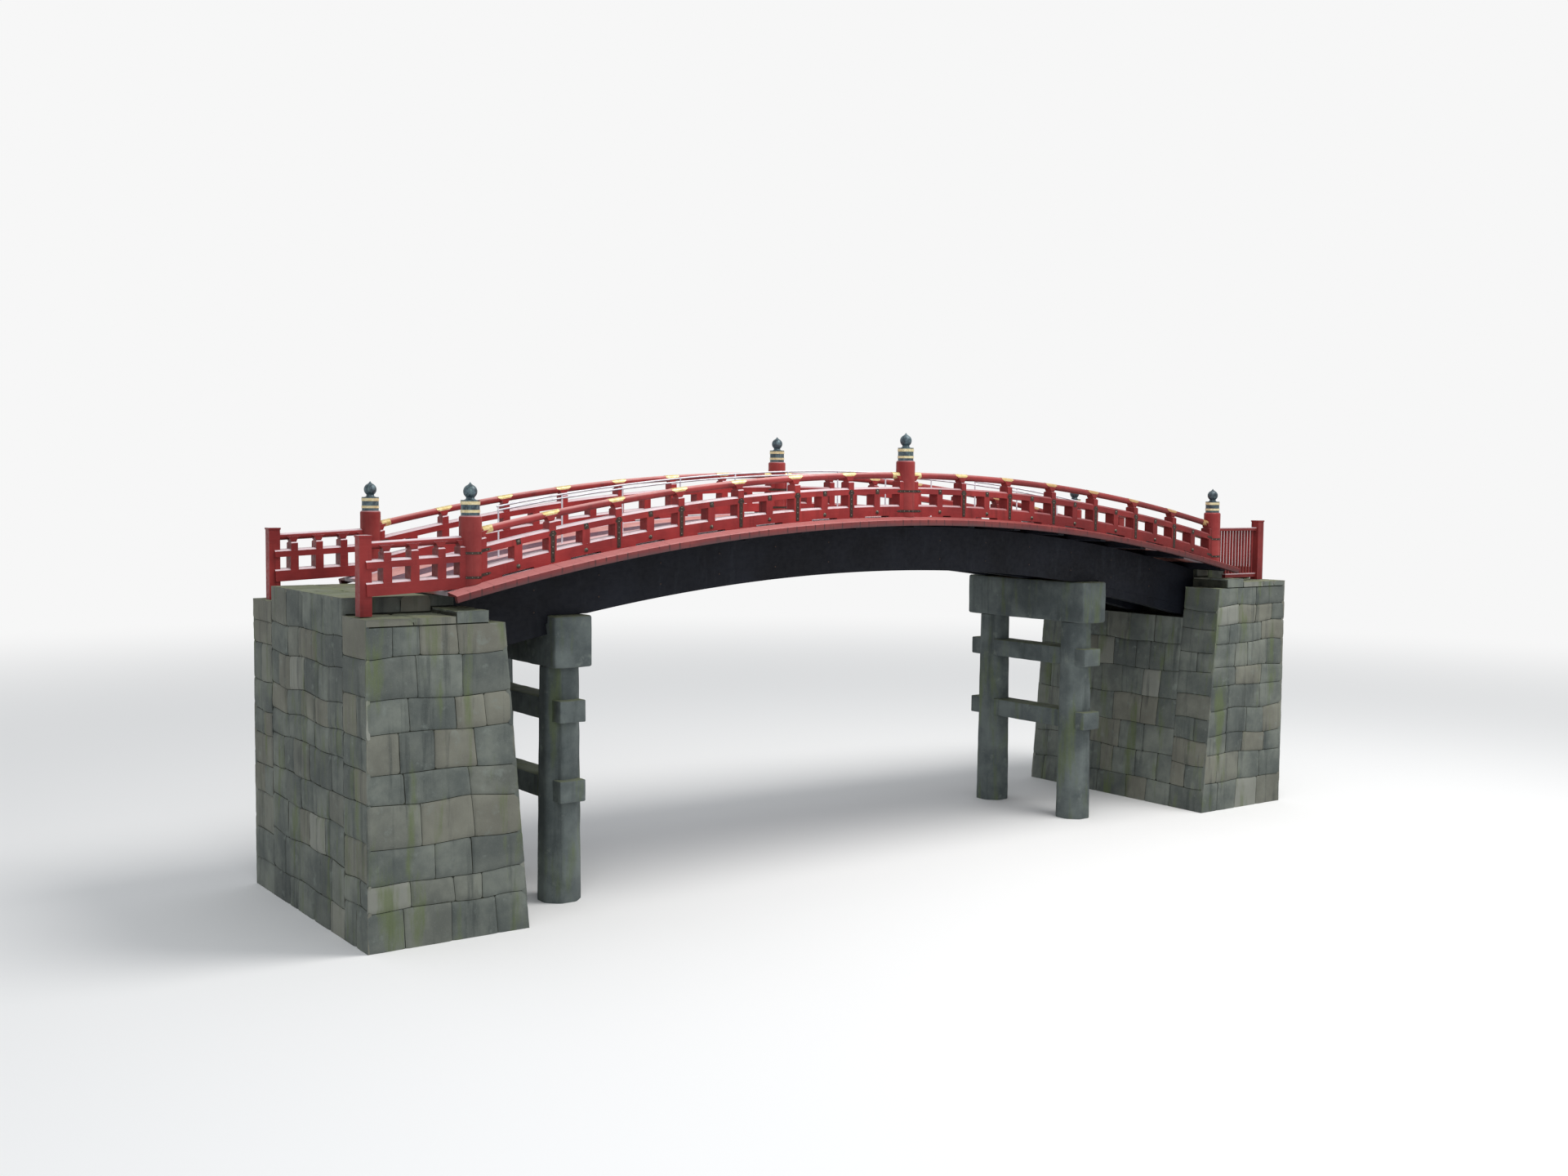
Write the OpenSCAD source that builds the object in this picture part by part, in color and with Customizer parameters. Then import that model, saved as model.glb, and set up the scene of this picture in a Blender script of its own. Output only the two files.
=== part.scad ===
/* [Arch of the bridge] */
// Distance between the end posts, centre to centre
span = 28000; // [27000:100:29000]
// Rise of the top rail from the end posts to the crown
rise = 1577; // [1450:1:1700]
// Height of the top rail at the end posts above the floor
end_rail_z = 10000; // [9500:50:10500]
// Distance across between the two lines of posts
post_gap = 6594; // [6400:2:6800]
// How far the deck runs on past the end posts
deck_overrun = 700; // [600:10:780]
// Gap left between two pieces that bear on each other
fit = 0.3; // [0.2:0.05:0.4]

/* [Deck] */
// Drop from the top of the top rail to the deck
deck_drop = 1321.5; // [1300:0.5:1340]
// Thickness of the deck boards
deck_t = 100; // [80:5:110]
// Height of the joists under the deck
joist_h = 200; // [180:5:210]
// Width of one joist
joist_w = 240; // [200:10:260]
// Width of the ledge outside the bottom rail
ledge_w = 508; // [480:2:530]
// Fall of the ledge to its outer edge
ledge_fall = 68; // [50:1:80]
// Thickness of the edge board
edge_t = 140; // [120:5:160]
// Height of the edge board at its outer face
edge_h = 180; // [160:1:200]

/* [Girders] */
// Drop from the top of the top rail to the underside of the girders
under_drop = 2980; // [2900:10:3020]
// Thickness of one girder
girder_t = 520; // [480:10:560]
// Distance from the middle to the outer face of the outer girders
girder_out = 2420; // [2380:10:2460]
// Height of the tail beams under the girders at the banks
tail_h = 290; // [260:5:310]

/* [Railing] */
// Diameter of the round top rail
rail_d = 190; // [180:1:196]
// Drop from the top of the top rail to the top of the mid rail
mid_drop = 437; // [430:1:445]
// Height of the mid rail
mid_h = 203; // [195:1:210]
// Drop from the top of the top rail to the top of the bottom rail
low_drop = 958; // [950:1:965]
// Thickness of the mid and bottom rails
rail_t = 374; // [360:1:380]
// Bevel along the upper edges of the mid rail
mid_bevel = 48; // [40:1:55]
// Bevel along the upper edges of the bottom rail
low_bevel = 52; // [40:1:60]
// Width of a main baluster between the rails
bal_w = 220; // [200:2:240]
// Width of the foot of a baluster on the mid rail
foot_w = 186; // [176:2:196]
// Height of the foot above the mid rail at its outer face
foot_h = 155; // [145:1:160]
// Width of the waist between foot and head
waist_w = 156; // [146:2:166]
// Thickness of the waist across the rail
waist_t = 224; // [210:2:236]
// Width of the flared head under the top rail
head_w = 370; // [350:5:390]
// Thickness of the head across the rail
head_t = 256; // [246:2:270]
// Drop from the top of the top rail to the underside of the head
head_drop = 228; // [222:1:232]
// Side of the tenon that passes through the mid rail
tenon = 120; // [100:2:140]
// Width of the blocks between the main balusters
block_w = 218; // [200:2:240]
// Distance from a main post to the half baluster that stands against it
jamb_x = 256; // [248:1:264]
// Number of bays on each side of the middle post
bays = 7; // [7:1:7]
// Length of the bays next to the posts against the others
end_bay = 1.13; // [1.1:0.01:1.16]
// Length of the drain slots under the bottom rail
slot_l = 900; // [800:10:1000]
// Height of the drain slots
slot_h = 42; // [30:1:50]

/* [Main posts] */
// Diameter of the six main posts
post_d = 565; // [556:1:574]
// Height of the post shoulder above the top rail
shoulder = 346; // [330:1:360]
// Rounding of the post shoulder
shoulder_r = 60; // [40:1:80]
// Diameter of the drum of the cap
drum_d = 462; // [450:1:470]
// Diameter of the bands of the cap
band_d = 484; // [478:1:500]
// Diameter of the ball of the cap
ball_d = 348; // [330:1:360]
// Height of the whole cap
cap_h = 826; // [815:1:840]

/* [Metalwork] */
// Width of the straps on the balusters
strap_w = 105; // [90:1:120]
// Height of the iron bands round the main posts
band_h = 64; // [50:1:76]
// How far the leaves of the bands reach from the middle of a post
leaf_l = 470; // [440:5:500]
// Thickness of straps and rail plates
strap_t = 6; // [5:0.5:8]
// Length of the plates on the top rail
plate_l = 520; // [480:10:560]
// Length of the sleeves on the top rail beside a main post
sleeve_l = 276; // [250:2:290]

/* [Stone piers] */
// Distance from the right end posts in to the right pier
right_pier_in = 5270; // [5150:10:5400]
// Distance from the left end posts in to the left pier
left_pier_in = 3150; // [3050:10:3300]
// Width of the pier cap along the bridge
pier_cap_w = 1150; // [1100:10:1200]
// Length of the pier cap across the bridge
pier_cap_l = 5640; // [5500:20:5800]
// Height of the pier cap
pier_cap_h = 1400; // [1350:10:1450]
// Distance from the middle to the centre of a column
column_y = 1980; // [1950:10:2020]
// Width across the flats of a column at its top
column_w_top = 1010; // [980:10:1030]
// Width across the flats of a column at the floor
column_w_foot = 1130; // [1100:10:1150]
// Width of the tie beams
tie_w = 790; // [760:10:810]
// Height of the tie beams
tie_h = 610; // [580:10:640]
// Drop from the underside of the cap to the top of the upper tie
tie_drop_1 = 850; // [800:10:900]
// Drop from the underside of the cap to the top of the lower tie
tie_drop_2 = 2980; // [2900:10:3050]

/* [Abutments] */
// Distance from the end posts out to the top of the river face
abut_in = 550; // [500:10:600]
// How far the river face leans in over its height
abut_batter = 650; // [500:10:800]
// How far the abutments run on past the end posts
abut_run = 3050; // [3000:10:3100]
// How far the abutments reach out past the line of posts
abut_side = 853; // [800:1:900]

/* [Wing fences] */
// Distance from the end post to the square post of a right wing fence
right_wing_run = 2500; // [2450:10:2550]
// Side of the square wing posts
wing_post = 300; // [280:5:310]
// Height of a right wing fence over the stone below it
fence_clear = 90; // [70:5:110]
// Drop from the end of the top rail to the top of a right wing fence
fence_drop = 190; // [170:5:210]
// Height of the top bar of a right wing fence
fence_bar = 110; // [100:2:120]
// Thickness of the top bar of a right wing fence
fence_t = 160; // [150:2:170]
// Number of pickets in a right wing fence
pickets = 12; // [10:1:13]
// Width of one picket
picket_w = 70; // [60:1:80]
// Thickness of one picket
picket_t = 60; // [50:1:70]
// Distance from the end post to the last post of a left wing railing
left_wing_run = 2750; // [2700:10:2800]
// Drop from the end of the top rail to the start of a left wing railing
wing_drop = 137; // [125:1:150]
// Fall of a left wing railing towards its last post, in degrees
wing_fall = 2.78; // [2.5:0.01:3]
// Distance between the balusters of a left wing railing
wing_bay = 693; // [680:1:700]

/* [Centre handrail] */
// Half of the length of the centre handrail
hand_half = 11700; // [11500:50:11800]
// Height of the upper handrail pipe over the top of the top rail
pipe_up = 30; // [20:1:40]
// Distance between the two upper handrail pipes
pipe_gap = 105; // [100:1:120]
// Diameter of the handrail pipes
pipe_d = 52; // [48:1:56]
// Diameter of the handrail posts
hand_post_d = 46; // [42:1:50]
// Number of posts of the handrail
hand_posts = 13; // [11:2:15]

/* [Hidden] */
$fn = 48;
arc_fn = 256;

red = [0.62, 0.16, 0.14];
black = [0.1, 0.11, 0.13];
stone = [0.42, 0.45, 0.42];
iron = [0.2, 0.2, 0.18];
gold = [0.82, 0.7, 0.4];
bronze = [0.24, 0.3, 0.3];
steel = [0.72, 0.74, 0.78];

R = (span * span / 4 + rise * rise) / (2 * rise);
zc = end_rail_z + rise - R;
py = post_gap / 2;
half = span / 2;
bay = half / (bays - 2 + 2 * end_bay);
bal_x = [for (i = [0 : bays - 2]) end_bay * bay + i * bay];
bal_all = concat([for (x = bal_x) -x], bal_x);
block_half = [for (i = [0 : bays - 1]) bal_x[0] - bay / 2 + i * bay];
block_all = concat([for (x = block_half) -x], block_half);
post_xs = [-half, 0, half];
low_h = deck_drop - low_drop;
deck_end = half + deck_overrun;
ledge_out = py + rail_t / 2 + ledge_w;
joist_top = deck_drop + deck_t;
girder_top = joist_top + joist_h;
arch_sag = bal_w * bal_w / (8 * R);
head_sag = head_w * head_w / (8 * R);
jambs = [-half + jamb_x, -jamb_x, jamb_x, half - jamb_x];
right_pier_x = half - right_pier_in;
left_pier_x = left_pier_in - half;
abut_x = half - abut_in;
abut_end = half + abut_run;
abut_half = py + abut_side;
right_wing_x = half + right_wing_run;
left_wing_x = -half - left_wing_run;
cap_r_z = arc_z(right_pier_x - pier_cap_w / 2, under_drop) - fit;
cap_l_z = arc_z(left_pier_x + pier_cap_w / 2, under_drop) - fit;
far_sides = [-1, 1];
cut = 20;
// where the ends of the square rails lie inside a post
end_in = sqrt(pow(post_d / 2, 2) - pow(rail_t / 2, 2)) - 1;
end_out = end_in - 6;

function arc_z(x, drop) = sqrt(pow(R - drop, 2) - x * x) + zc;
function slope(x, drop) = asin(x / (R - drop));

// height and slope of the railing, along the arch and on past the left end post
function line_z(x, drop) = x >= -half ? arc_z(x, drop)
    : end_rail_z - wing_drop + (x + half) * tan(wing_fall) - drop;
function line_slope(x, drop) = x >= -half ? slope(x, drop) : -wing_fall;

// solid swept along the arch between two slopes, profile in (radius, -y)
module arc_run(a0, a1) {
    translate([0, 0, zc])
        rotate([90, 0, 0])
            rotate([0, 0, 90 - a1])
                rotate_extrude(angle = a1 - a0, $fn = arc_fn)
                    children();
}

// the same between two places x0 and x1, taken at the drop ref
module sweep(x0, x1, ref = 0) {
    arc_run(slope(x0, ref), slope(x1, ref))
        children();
}

// one run on each side of the middle post, with its ends hidden in the posts
module rail_sweep(inner, outer, drop_top, drop_low) {
    a0 = slope(inner, drop_top);
    a1 = slope(half - outer, drop_low);
    arc_run(a0, a1)
        children();
    arc_run(-a1, -a0)
        children();
}

// rectangle for a sweep: between two drops and two distances across
module strip(d0, d1, y0, y1) {
    translate([R - d1, -y1])
        square([d1 - d0, y1 - y0]);
}

// frame on the railing line at x, with its own x axis along the slope
module at(x, drop) {
    translate([x, 0, line_z(x, drop)])
        rotate([0, line_slope(x, drop), 0])
            children();
}

module deck() {
    color(red)
        sweep(-deck_end, deck_end, deck_drop)
            strip(deck_drop + fit, joist_top, -py - rail_t / 2 - fit,
                py + rail_t / 2 + fit);
}

module deck_edge(s) {
    y0 = py + rail_t / 2 + 2 * fit;
    color(red)
        sweep(-deck_end, deck_end, deck_drop)
            scale([1, -s])
                polygon([[R - deck_drop - fit, y0],
                    [R - deck_drop - ledge_fall, ledge_out],
                    [R - deck_drop - ledge_fall - edge_h, ledge_out],
                    [R - deck_drop - ledge_fall - edge_h, ledge_out - edge_t],
                    [R - joist_top, ledge_out - edge_t],
                    [R - joist_top, y0]]);
}

module deck_edge_near() {
    deck_edge(-1);
}

module deck_edge_far() {
    deck_edge(1);
}

module joists() {
    color(black)
        for (x = concat(bal_all, post_xs))
            at(x, joist_top)
                translate([-joist_w / 2, -ledge_out + edge_t + fit, -joist_h + fit])
                    cube([joist_w, 2 * (ledge_out - edge_t - fit), joist_h - 2 * fit]);
}

module girder(y0, y1) {
    color(black)
        difference() {
            sweep(-half + 60, half - 60, under_drop)
                strip(girder_top + fit, under_drop, y0, y1);
            cap_space(right_pier_x, cap_r_z);
            cap_space(left_pier_x, cap_l_z);
        }
}

// room for a pier cap under the girders
module cap_space(x, z) {
    translate([x - pier_cap_w / 2 - fit, -post_gap, z - pier_cap_h])
        cube([pier_cap_w + 2 * fit, 2 * post_gap, pier_cap_h + fit]);
}

module girder_near() {
    girder(-girder_out, -girder_out + girder_t);
}

module girder_middle() {
    girder(-girder_t / 2, girder_t / 2);
}

module girder_far() {
    girder(girder_out - girder_t, girder_out);
}

// beams under the girders from a pier cap to the bank
module tail_beams(x0, x1) {
    xs = [min(x0, x1), max(x0, x1)];
    color(black)
        for (y = [-girder_out + girder_t / 2, 0, girder_out - girder_t / 2])
            sweep(xs[0], xs[1], under_drop + tail_h)
                strip(under_drop + fit, under_drop + tail_h, y - girder_t / 2 + 20,
                    y + girder_t / 2 - 20);
}

module tail_beams_right() {
    tail_beams(right_pier_x + pier_cap_w / 2 + fit, half - 60);
}

module tail_beams_left() {
    tail_beams(left_pier_x - pier_cap_w / 2 - fit, -half + 60);
}

module post_holes(s, d = post_d + 2 * fit) {
    for (x = post_xs)
        translate([x, s * py, end_rail_z / 2])
            rotate([0, 0, 90])
                cylinder(d = d, h = end_rail_z);
}

module bottom_rail(s) {
    y0 = s * py - rail_t / 2;
    y1 = s * py + rail_t / 2;
    color(red)
        difference() {
            rail_sweep(end_in, end_out, low_drop, deck_drop)
                polygon([[R - deck_drop, -y1], [R - deck_drop, -y0],
                    [R - low_drop - low_bevel, -y0], [R - low_drop, -y0 - low_bevel],
                    [R - low_drop, -y1 + low_bevel], [R - low_drop - low_bevel, -y1]]);
            post_holes(s);
            for (x = block_all)
                at(x, deck_drop)
                    translate([-slot_l / 2, s * py - rail_t, -cut])
                        cube([slot_l, 2 * rail_t, slot_h + cut]);
        }
}

module bottom_rail_near() {
    bottom_rail(-1);
}

module bottom_rail_far() {
    bottom_rail(1);
}

module mid_rail(s) {
    y0 = s * py - rail_t / 2;
    y1 = s * py + rail_t / 2;
    r0 = R - mid_drop - mid_h;
    r1 = R - mid_drop;
    color(red)
        difference() {
            rail_sweep(end_in, end_out, mid_drop, mid_drop + mid_h)
                polygon([[r0, -y1], [r0, -y0], [r1 - mid_bevel, -y0],
                    [r1, -y0 - mid_bevel], [r1, -y1 + mid_bevel],
                    [r1 - mid_bevel, -y1]]);
            post_holes(s);
            for (x = bal_all)
                translate([x - tenon / 2 - fit, s * py - tenon / 2 - fit,
                        arc_z(x, mid_drop) - mid_h - 100])
                    cube([tenon + 2 * fit, tenon + 2 * fit, mid_h + 200]);
        }
}

module mid_rail_near() {
    mid_rail(-1);
}

module mid_rail_far() {
    mid_rail(1);
}

module rail_bar(s, d) {
    rail_sweep(260, 255, 0, rail_d)
        translate([R - rail_d / 2, -s * py])
            rotate(60)
                circle(d = d);
}

module top_rail(s) {
    color(red)
        difference() {
            rail_bar(s, rail_d);
            post_holes(s);
        }
}

module top_rail_near() {
    top_rail(-1);
}

module top_rail_far() {
    top_rail(1);
}

// room that a bevelled rail takes below its top, wider than any upright
module rail_room(s, bevel) {
    h = rail_t / 2;
    translate([0, s * py, 0])
        rotate([90, 0, 90])
            linear_extrude(2 * head_w, center = true)
                polygon([[-h - cut, -rail_t], [h + cut, -rail_t], [h + cut, -bevel - cut],
                    [h - bevel, 0], [-h + bevel, 0], [-h - cut, -bevel - cut]]);
}

// everything above a frame's own level
module above(s) {
    translate([-head_w, s * py - rail_t, 0])
        cube([2 * head_w, 2 * rail_t, rail_t]);
}

// upright piece w wide, flush with both rails and scribed over the bevel of the lower
module upright(x, s, w) {
    gap = low_drop - mid_drop - mid_h;
    difference() {
        translate([x - w / 2, s * py - rail_t / 2, line_z(x, low_drop) - 200])
            cube([w, rail_t, gap + 400]);
        at(x, low_drop - fit)
            rail_room(s, low_bevel);
        at(x, mid_drop + mid_h + fit + arch_sag)
            above(s);
    }
}

// half of the outline of foot, waist and head: half width and drop
flare = [[0.06, 0], [0.1, 0.15], [0.2, 0.4], [0.42, 0.65], [0.72, 0.86], [1, 1]];
flare_w = (head_w - waist_w) / 2;
flare_h = head_drop - rail_d / 2 - 10;
ledge_drop = mid_drop - foot_h;
top_half = concat([[foot_w / 2, mid_drop + 60], [foot_w / 2, ledge_drop],
    [waist_w / 2, ledge_drop - 28], [waist_w / 2, head_drop]],
    [for (p = flare) [waist_w / 2 + p[0] * flare_w, head_drop - p[1] * flare_h]],
    [[head_w / 2, rail_d / 2 - 20]]);
top_side = [[rail_t / 2, mid_drop + 60], [rail_t / 2, ledge_drop],
    [rail_t / 2 - 46, ledge_drop - 28], [waist_t / 2, ledge_drop - 29],
    [waist_t / 2, head_drop], [head_t / 2, head_drop], [head_t / 2, rail_d / 2 - 20]];
turned = [for (i = [len(top_half) - 1 : -1 : 0]) [-top_half[i][0], top_half[i][1]]];
side_turned = [for (i = [len(top_side) - 1 : -1 : 0]) [-top_side[i][0], top_side[i][1]]];

// foot on the mid rail, waist and flared head under a round rail d thick
module baluster_top(x, s, d) {
    difference() {
        intersection() {
            translate([0, s * py, 0])
                rotate([90, 0, 0])
                    linear_extrude(2 * rail_t, center = true)
                        polygon([for (p = concat(top_half, turned))
                            [x + p[0], line_z(x + p[0], p[1])]]);
            at(x, 0)
                translate([0, s * py, 0])
                    rotate([90, 0, 90])
                        linear_extrude(2 * head_w, center = true)
                            polygon([for (p = concat(top_side, side_turned))
                                [p[0], -p[1]]]);
        }
        at(x, mid_drop - fit)
            rail_room(s, mid_bevel);
        at(x, rail_d / 2 + 8)
            above(s);
        at(x, rail_d / 2)
            translate([-head_w, s * py, 0])
                rotate([0, 90, 0])
                    cylinder(d = d + 2 * fit + 2 * head_sag, h = 2 * head_w);
    }
}

// main balusters, each with a tenon through the mid rail
module main_balusters(s) {
    for (x = bal_all) {
        upright(x, s, bal_w);
        translate([x - tenon / 2, s * py - tenon / 2, arc_z(x, mid_drop + mid_h) - 40])
            cube([tenon, tenon, mid_h + 100]);
        baluster_top(x, s, rail_d);
    }
}

// half balusters that stand against the main posts
module half_balusters(s) {
    difference() {
        for (x = jambs) {
            upright(x, s, bal_w);
            baluster_top(x, s, rail_d + 2 * strap_t);
        }
        post_holes(s);
    }
}

module balusters(s) {
    color(red) {
        main_balusters(s);
        half_balusters(s);
    }
}

module balusters_near() {
    balusters(-1);
}

module balusters_far() {
    balusters(1);
}

module rail_blocks(s) {
    color(red)
        for (x = block_all)
            upright(x, s, block_w);
}

module rail_blocks_near() {
    rail_blocks(-1);
}

module rail_blocks_far() {
    rail_blocks(1);
}

function shoulder_z(x) = arc_z(x, 0) + shoulder;

module main_post(x, s) {
    r = post_d / 2;
    z0 = arc_z(x, deck_drop) - 400;
    color(red)
        difference() {
            translate([x, s * py, 0])
                rotate_extrude()
                    union() {
                        translate([0, z0])
                            square([r, shoulder_z(x) - shoulder_r - z0]);
                        translate([0, shoulder_z(x) - shoulder_r - 1])
                            square([r - shoulder_r, shoulder_r + 1]);
                        translate([r - shoulder_r, shoulder_z(x) - shoulder_r])
                            intersection() {
                                circle(shoulder_r);
                                square(shoulder_r);
                            }
                    }
            at(x, deck_drop)
                translate([-800, s * py - 800, -1500])
                    cube([1600, 1600, 1500]);
        }
}

module post_left_near() {
    main_post(-half, -1);
}

module post_left_far() {
    main_post(-half, 1);
}

module post_mid_near() {
    main_post(0, -1);
}

module post_mid_far() {
    main_post(0, 1);
}

module post_right_near() {
    main_post(half, -1);
}

module post_right_far() {
    main_post(half, 1);
}

// half outline of the onion cap, seated on the post shoulder
module cap_outline() {
    r = ball_d / 2;
    zb = cap_h - 60 - r;
    difference() {
        union() {
            square([drum_d / 2 - 4, 64]);
            square([drum_d / 2, 366]);
            translate([0, 356])
                square([band_d / 2 - 6, 24]);
            polygon([[0, 378], [170, 378], [118, 400], [104, 430], [112, zb - r + 52],
                [0, zb]]);
            translate([0, zb])
                circle(r);
            polygon([[0, zb + r - 30], [70, zb + r - 16], [30, zb + r + 18],
                [12, zb + r + 48], [0, cap_h]]);
        }
        translate([-2 * r, -10])
            square([2 * r, 2 * cap_h]);
        for (z = band_z)
            translate([drum_d / 2 - 6 - fit, z[0] - fit])
                square([100, z[1] - z[0] + 2 * fit]);
    }
}

band_z = [[70, 138], [268, 350]];

module caps(s) {
    color(bronze)
        for (x = post_xs)
            translate([x, s * py, shoulder_z(x) + fit])
                rotate_extrude()
                    cap_outline();
}

module caps_near() {
    caps(-1);
}

module caps_far() {
    caps(1);
}

module cap_bands() {
    color(gold)
        for (s = far_sides)
            for (x = post_xs)
                for (z = band_z)
                    translate([x, s * py, shoulder_z(x) + fit + z[0]])
                        difference() {
                            cylinder(d = band_d, h = z[1] - z[0]);
                            translate([0, 0, -1])
                                cylinder(d = drum_d - 12, h = z[1] - z[0] + 2);
                        }
}

// iron band round a main post, with leaves that lap onto the rail beside it
band_drops = [mid_drop + (mid_h + mid_bevel) / 2, low_drop + low_h / 2 + 10];
leaf = [[post_d / 2 - 90, 40], [leaf_l - 70, 34], [leaf_l - 24, 20], [leaf_l, 0],
    [leaf_l - 24, -20], [leaf_l - 70, -34], [post_d / 2 - 90, -40]];

module post_band(x, s, drop, ways) {
    y = rail_t / 2 + fit;
    difference() {
        union() {
            difference() {
                translate([x, s * py, arc_z(x, drop) - band_h / 2])
                    cylinder(d = post_d + 2 * strap_t, h = band_h);
                translate([x - post_d, s * py - y - 0.5, arc_z(x, drop) - band_h])
                    cube([2 * post_d, 2 * y + 1, 2 * band_h]);
            }
            for (w = ways)
                for (f = far_sides)
                    translate([0, s * py + f * (y + strap_t / 2), 0])
                        rotate([90, 0, 0])
                            linear_extrude(strap_t, center = true)
                                polygon([for (p = leaf)
                                    [x + w * p[0], arc_z(x + w * p[0], drop + p[1])]]);
        }
        translate([x, s * py, arc_z(x, drop) - 3 * band_h])
            cylinder(d = post_d + 2 * fit, h = 6 * band_h);
    }
}

module post_straps() {
    color(iron)
        for (s = far_sides)
            for (drop = band_drops) {
                post_band(-half, s, drop, [1]);
                post_band(0, s, drop, far_sides);
                post_band(half, s, drop, [-1]);
            }
}

// outline of a strap: half width and drop, a shield on the mid rail and a tail below
shield_drop = mid_drop + mid_bevel;
shield_h = mid_h - mid_bevel;
strap_half = [[strap_w * 0.5, shield_drop + 0.05 * shield_h],
    [strap_w * 0.72, shield_drop + 0.3 * shield_h],
    [strap_w * 0.96, shield_drop + 0.6 * shield_h],
    [strap_w * 0.92, shield_drop + 0.78 * shield_h],
    [strap_w * 0.56, shield_drop + 0.98 * shield_h], [strap_w * 0.5, deck_drop - 34]];
strap_turned = [for (i = [len(strap_half) - 1 : -1 : 0])
    [-strap_half[i][0], strap_half[i][1]]];

// upright iron straps over both rails on the outer faces of the main balusters
module baluster_straps() {
    color(iron)
        for (s = far_sides)
            for (x = bal_all)
                translate([0, s * (py + rail_t / 2 + fit + strap_t / 2), 0])
                    rotate([90, 0, 0])
                        linear_extrude(strap_t, center = true)
                            polygon([for (p = concat(strap_half, strap_turned))
                                [x + p[0], arc_z(x + p[0], p[1])]]);
}

// sleeve round the top rail between two places
module sleeve(x0, x1, s) {
    sweep(x0, x1)
        translate([R - rail_d / 2, -s * py])
            difference() {
                circle(d = rail_d + 2 * strap_t);
                circle(d = rail_d + 2 * fit);
            }
}

// metal plates wrapped over the top rail at the balusters, and sleeves at the posts
module rail_plates() {
    e0 = post_d / 2 + 5 * fit;
    e1 = e0 + sleeve_l;
    color(gold)
        for (s = far_sides) {
            for (x = bal_all)
                sweep(x - plate_l / 2, x + plate_l / 2)
                    translate([R - rail_d / 2, -s * py])
                        difference() {
                            circle(d = rail_d + 2 * strap_t);
                            circle(d = rail_d + 2 * fit);
                            translate([-rail_d, -rail_d])
                                square([rail_d + 10, 2 * rail_d]);
                        }
            sleeve(-half + e0, -half + e1, s);
            sleeve(-e1, -e0, s);
            sleeve(e0, e1, s);
            sleeve(half - e1, half - e0, s);
        }
}

module pier_cap(x, z) {
    color(stone)
        translate([x - pier_cap_w / 2, -pier_cap_l / 2, z - pier_cap_h])
            cube([pier_cap_w, pier_cap_l, pier_cap_h]);
}

module wedge(w0, w1, h) {
    rotate([90, 0, 0])
        linear_extrude(2 * w0, center = true)
            polygon([[-w0 / 2, 0], [w0 / 2, 0], [w1 / 2, h], [-w1 / 2, h]]);
}

module column(h) {
    intersection() {
        wedge(column_w_foot, column_w_top, h);
        rotate([0, 0, 45])
            wedge(column_w_foot, column_w_top, h);
        rotate([0, 0, 90])
            wedge(column_w_foot, column_w_top, h);
        rotate([0, 0, 135])
            wedge(column_w_foot, column_w_top, h);
    }
}

module tie_bars(x, z, grow = 0) {
    for (d = [tie_drop_1, tie_drop_2])
        translate([x - tie_w / 2 - grow, -pier_cap_l / 2 + 40 - grow,
                z - pier_cap_h - d - tie_h - grow])
            cube([tie_w + 2 * grow, pier_cap_l - 80 + 2 * grow, tie_h + 2 * grow]);
}

module columns(x, z) {
    color(stone)
        difference() {
            union() {
                for (s = far_sides)
                    translate([x, s * column_y, 0])
                        column(z - pier_cap_h - fit);
            }
            tie_bars(x, z, fit);
        }
}

module left_pier_cap() {
    pier_cap(left_pier_x, cap_l_z);
}

module left_pier_columns() {
    columns(left_pier_x, cap_l_z);
}

module left_pier_ties() {
    color(stone)
        tie_bars(left_pier_x, cap_l_z);
}

module right_pier_cap() {
    pier_cap(right_pier_x, cap_r_z);
}

module right_pier_columns() {
    columns(right_pier_x, cap_r_z);
}

module right_pier_ties() {
    color(stone)
        tie_bars(right_pier_x, cap_r_z);
}

seat_z = arc_z(half - 60, under_drop + tail_h) - fit;
flank_y = girder_out + 200;
flank_z = [arc_z(half, 0) - 2250, arc_z(half, 0) - 1930, arc_z(half, 0) - 2050];
core_z = arc_z(deck_end, joist_top) - fit;

// stone abutment at the right bank with a seat for girders and tail beams
module right_abutment() {
    color(stone)
        difference() {
            rotate([90, 0, 0])
                linear_extrude(2 * abut_half, center = true)
                    polygon([[abut_x - abut_batter, 0], [abut_end, 0],
                        [abut_end, core_z], [deck_end, core_z],
                        [half + 120, arc_z(half + 120, joist_top) - fit],
                        [abut_x, flank_z[0]]]);
            for (s = far_sides) {
                flank(s, abut_x - 200, half - 100, flank_z[0]);
                flank(s, half - 110, deck_end + 60, flank_z[1]);
                flank(s, deck_end + 50, abut_end + 10, flank_z[2]);
            }
            translate([abut_x - 300, -flank_y, seat_z])
                cube([half + 125 - abut_x + 300, 2 * flank_y, end_rail_z]);
        }
}

module flank(s, x0, x1, z) {
    translate([x0, s > 0 ? flank_y : -abut_half - 10, z])
        cube([x1 - x0, abut_half + 10 - flank_y, end_rail_z]);
}

module left_abutment() {
    mirror([1, 0, 0])
        right_abutment();
}

// room taken by the end of the deck on the right
module deck_space() {
    rotate([90, 0, 0])
        linear_extrude(2 * post_gap, center = true)
            polygon([[half - post_d, arc_z(half - post_d, deck_drop) + 5],
                [deck_end + fit, arc_z(deck_end + fit, deck_drop) + 1.5],
                [deck_end + fit, end_rail_z / 2], [half - post_d, end_rail_z / 2]]);
}

wing_foot_z = flank_z[2] + fit;
fence_z = end_rail_z - fence_drop;
fence_h = fence_z - flank_z[2] - fence_clear;

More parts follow.
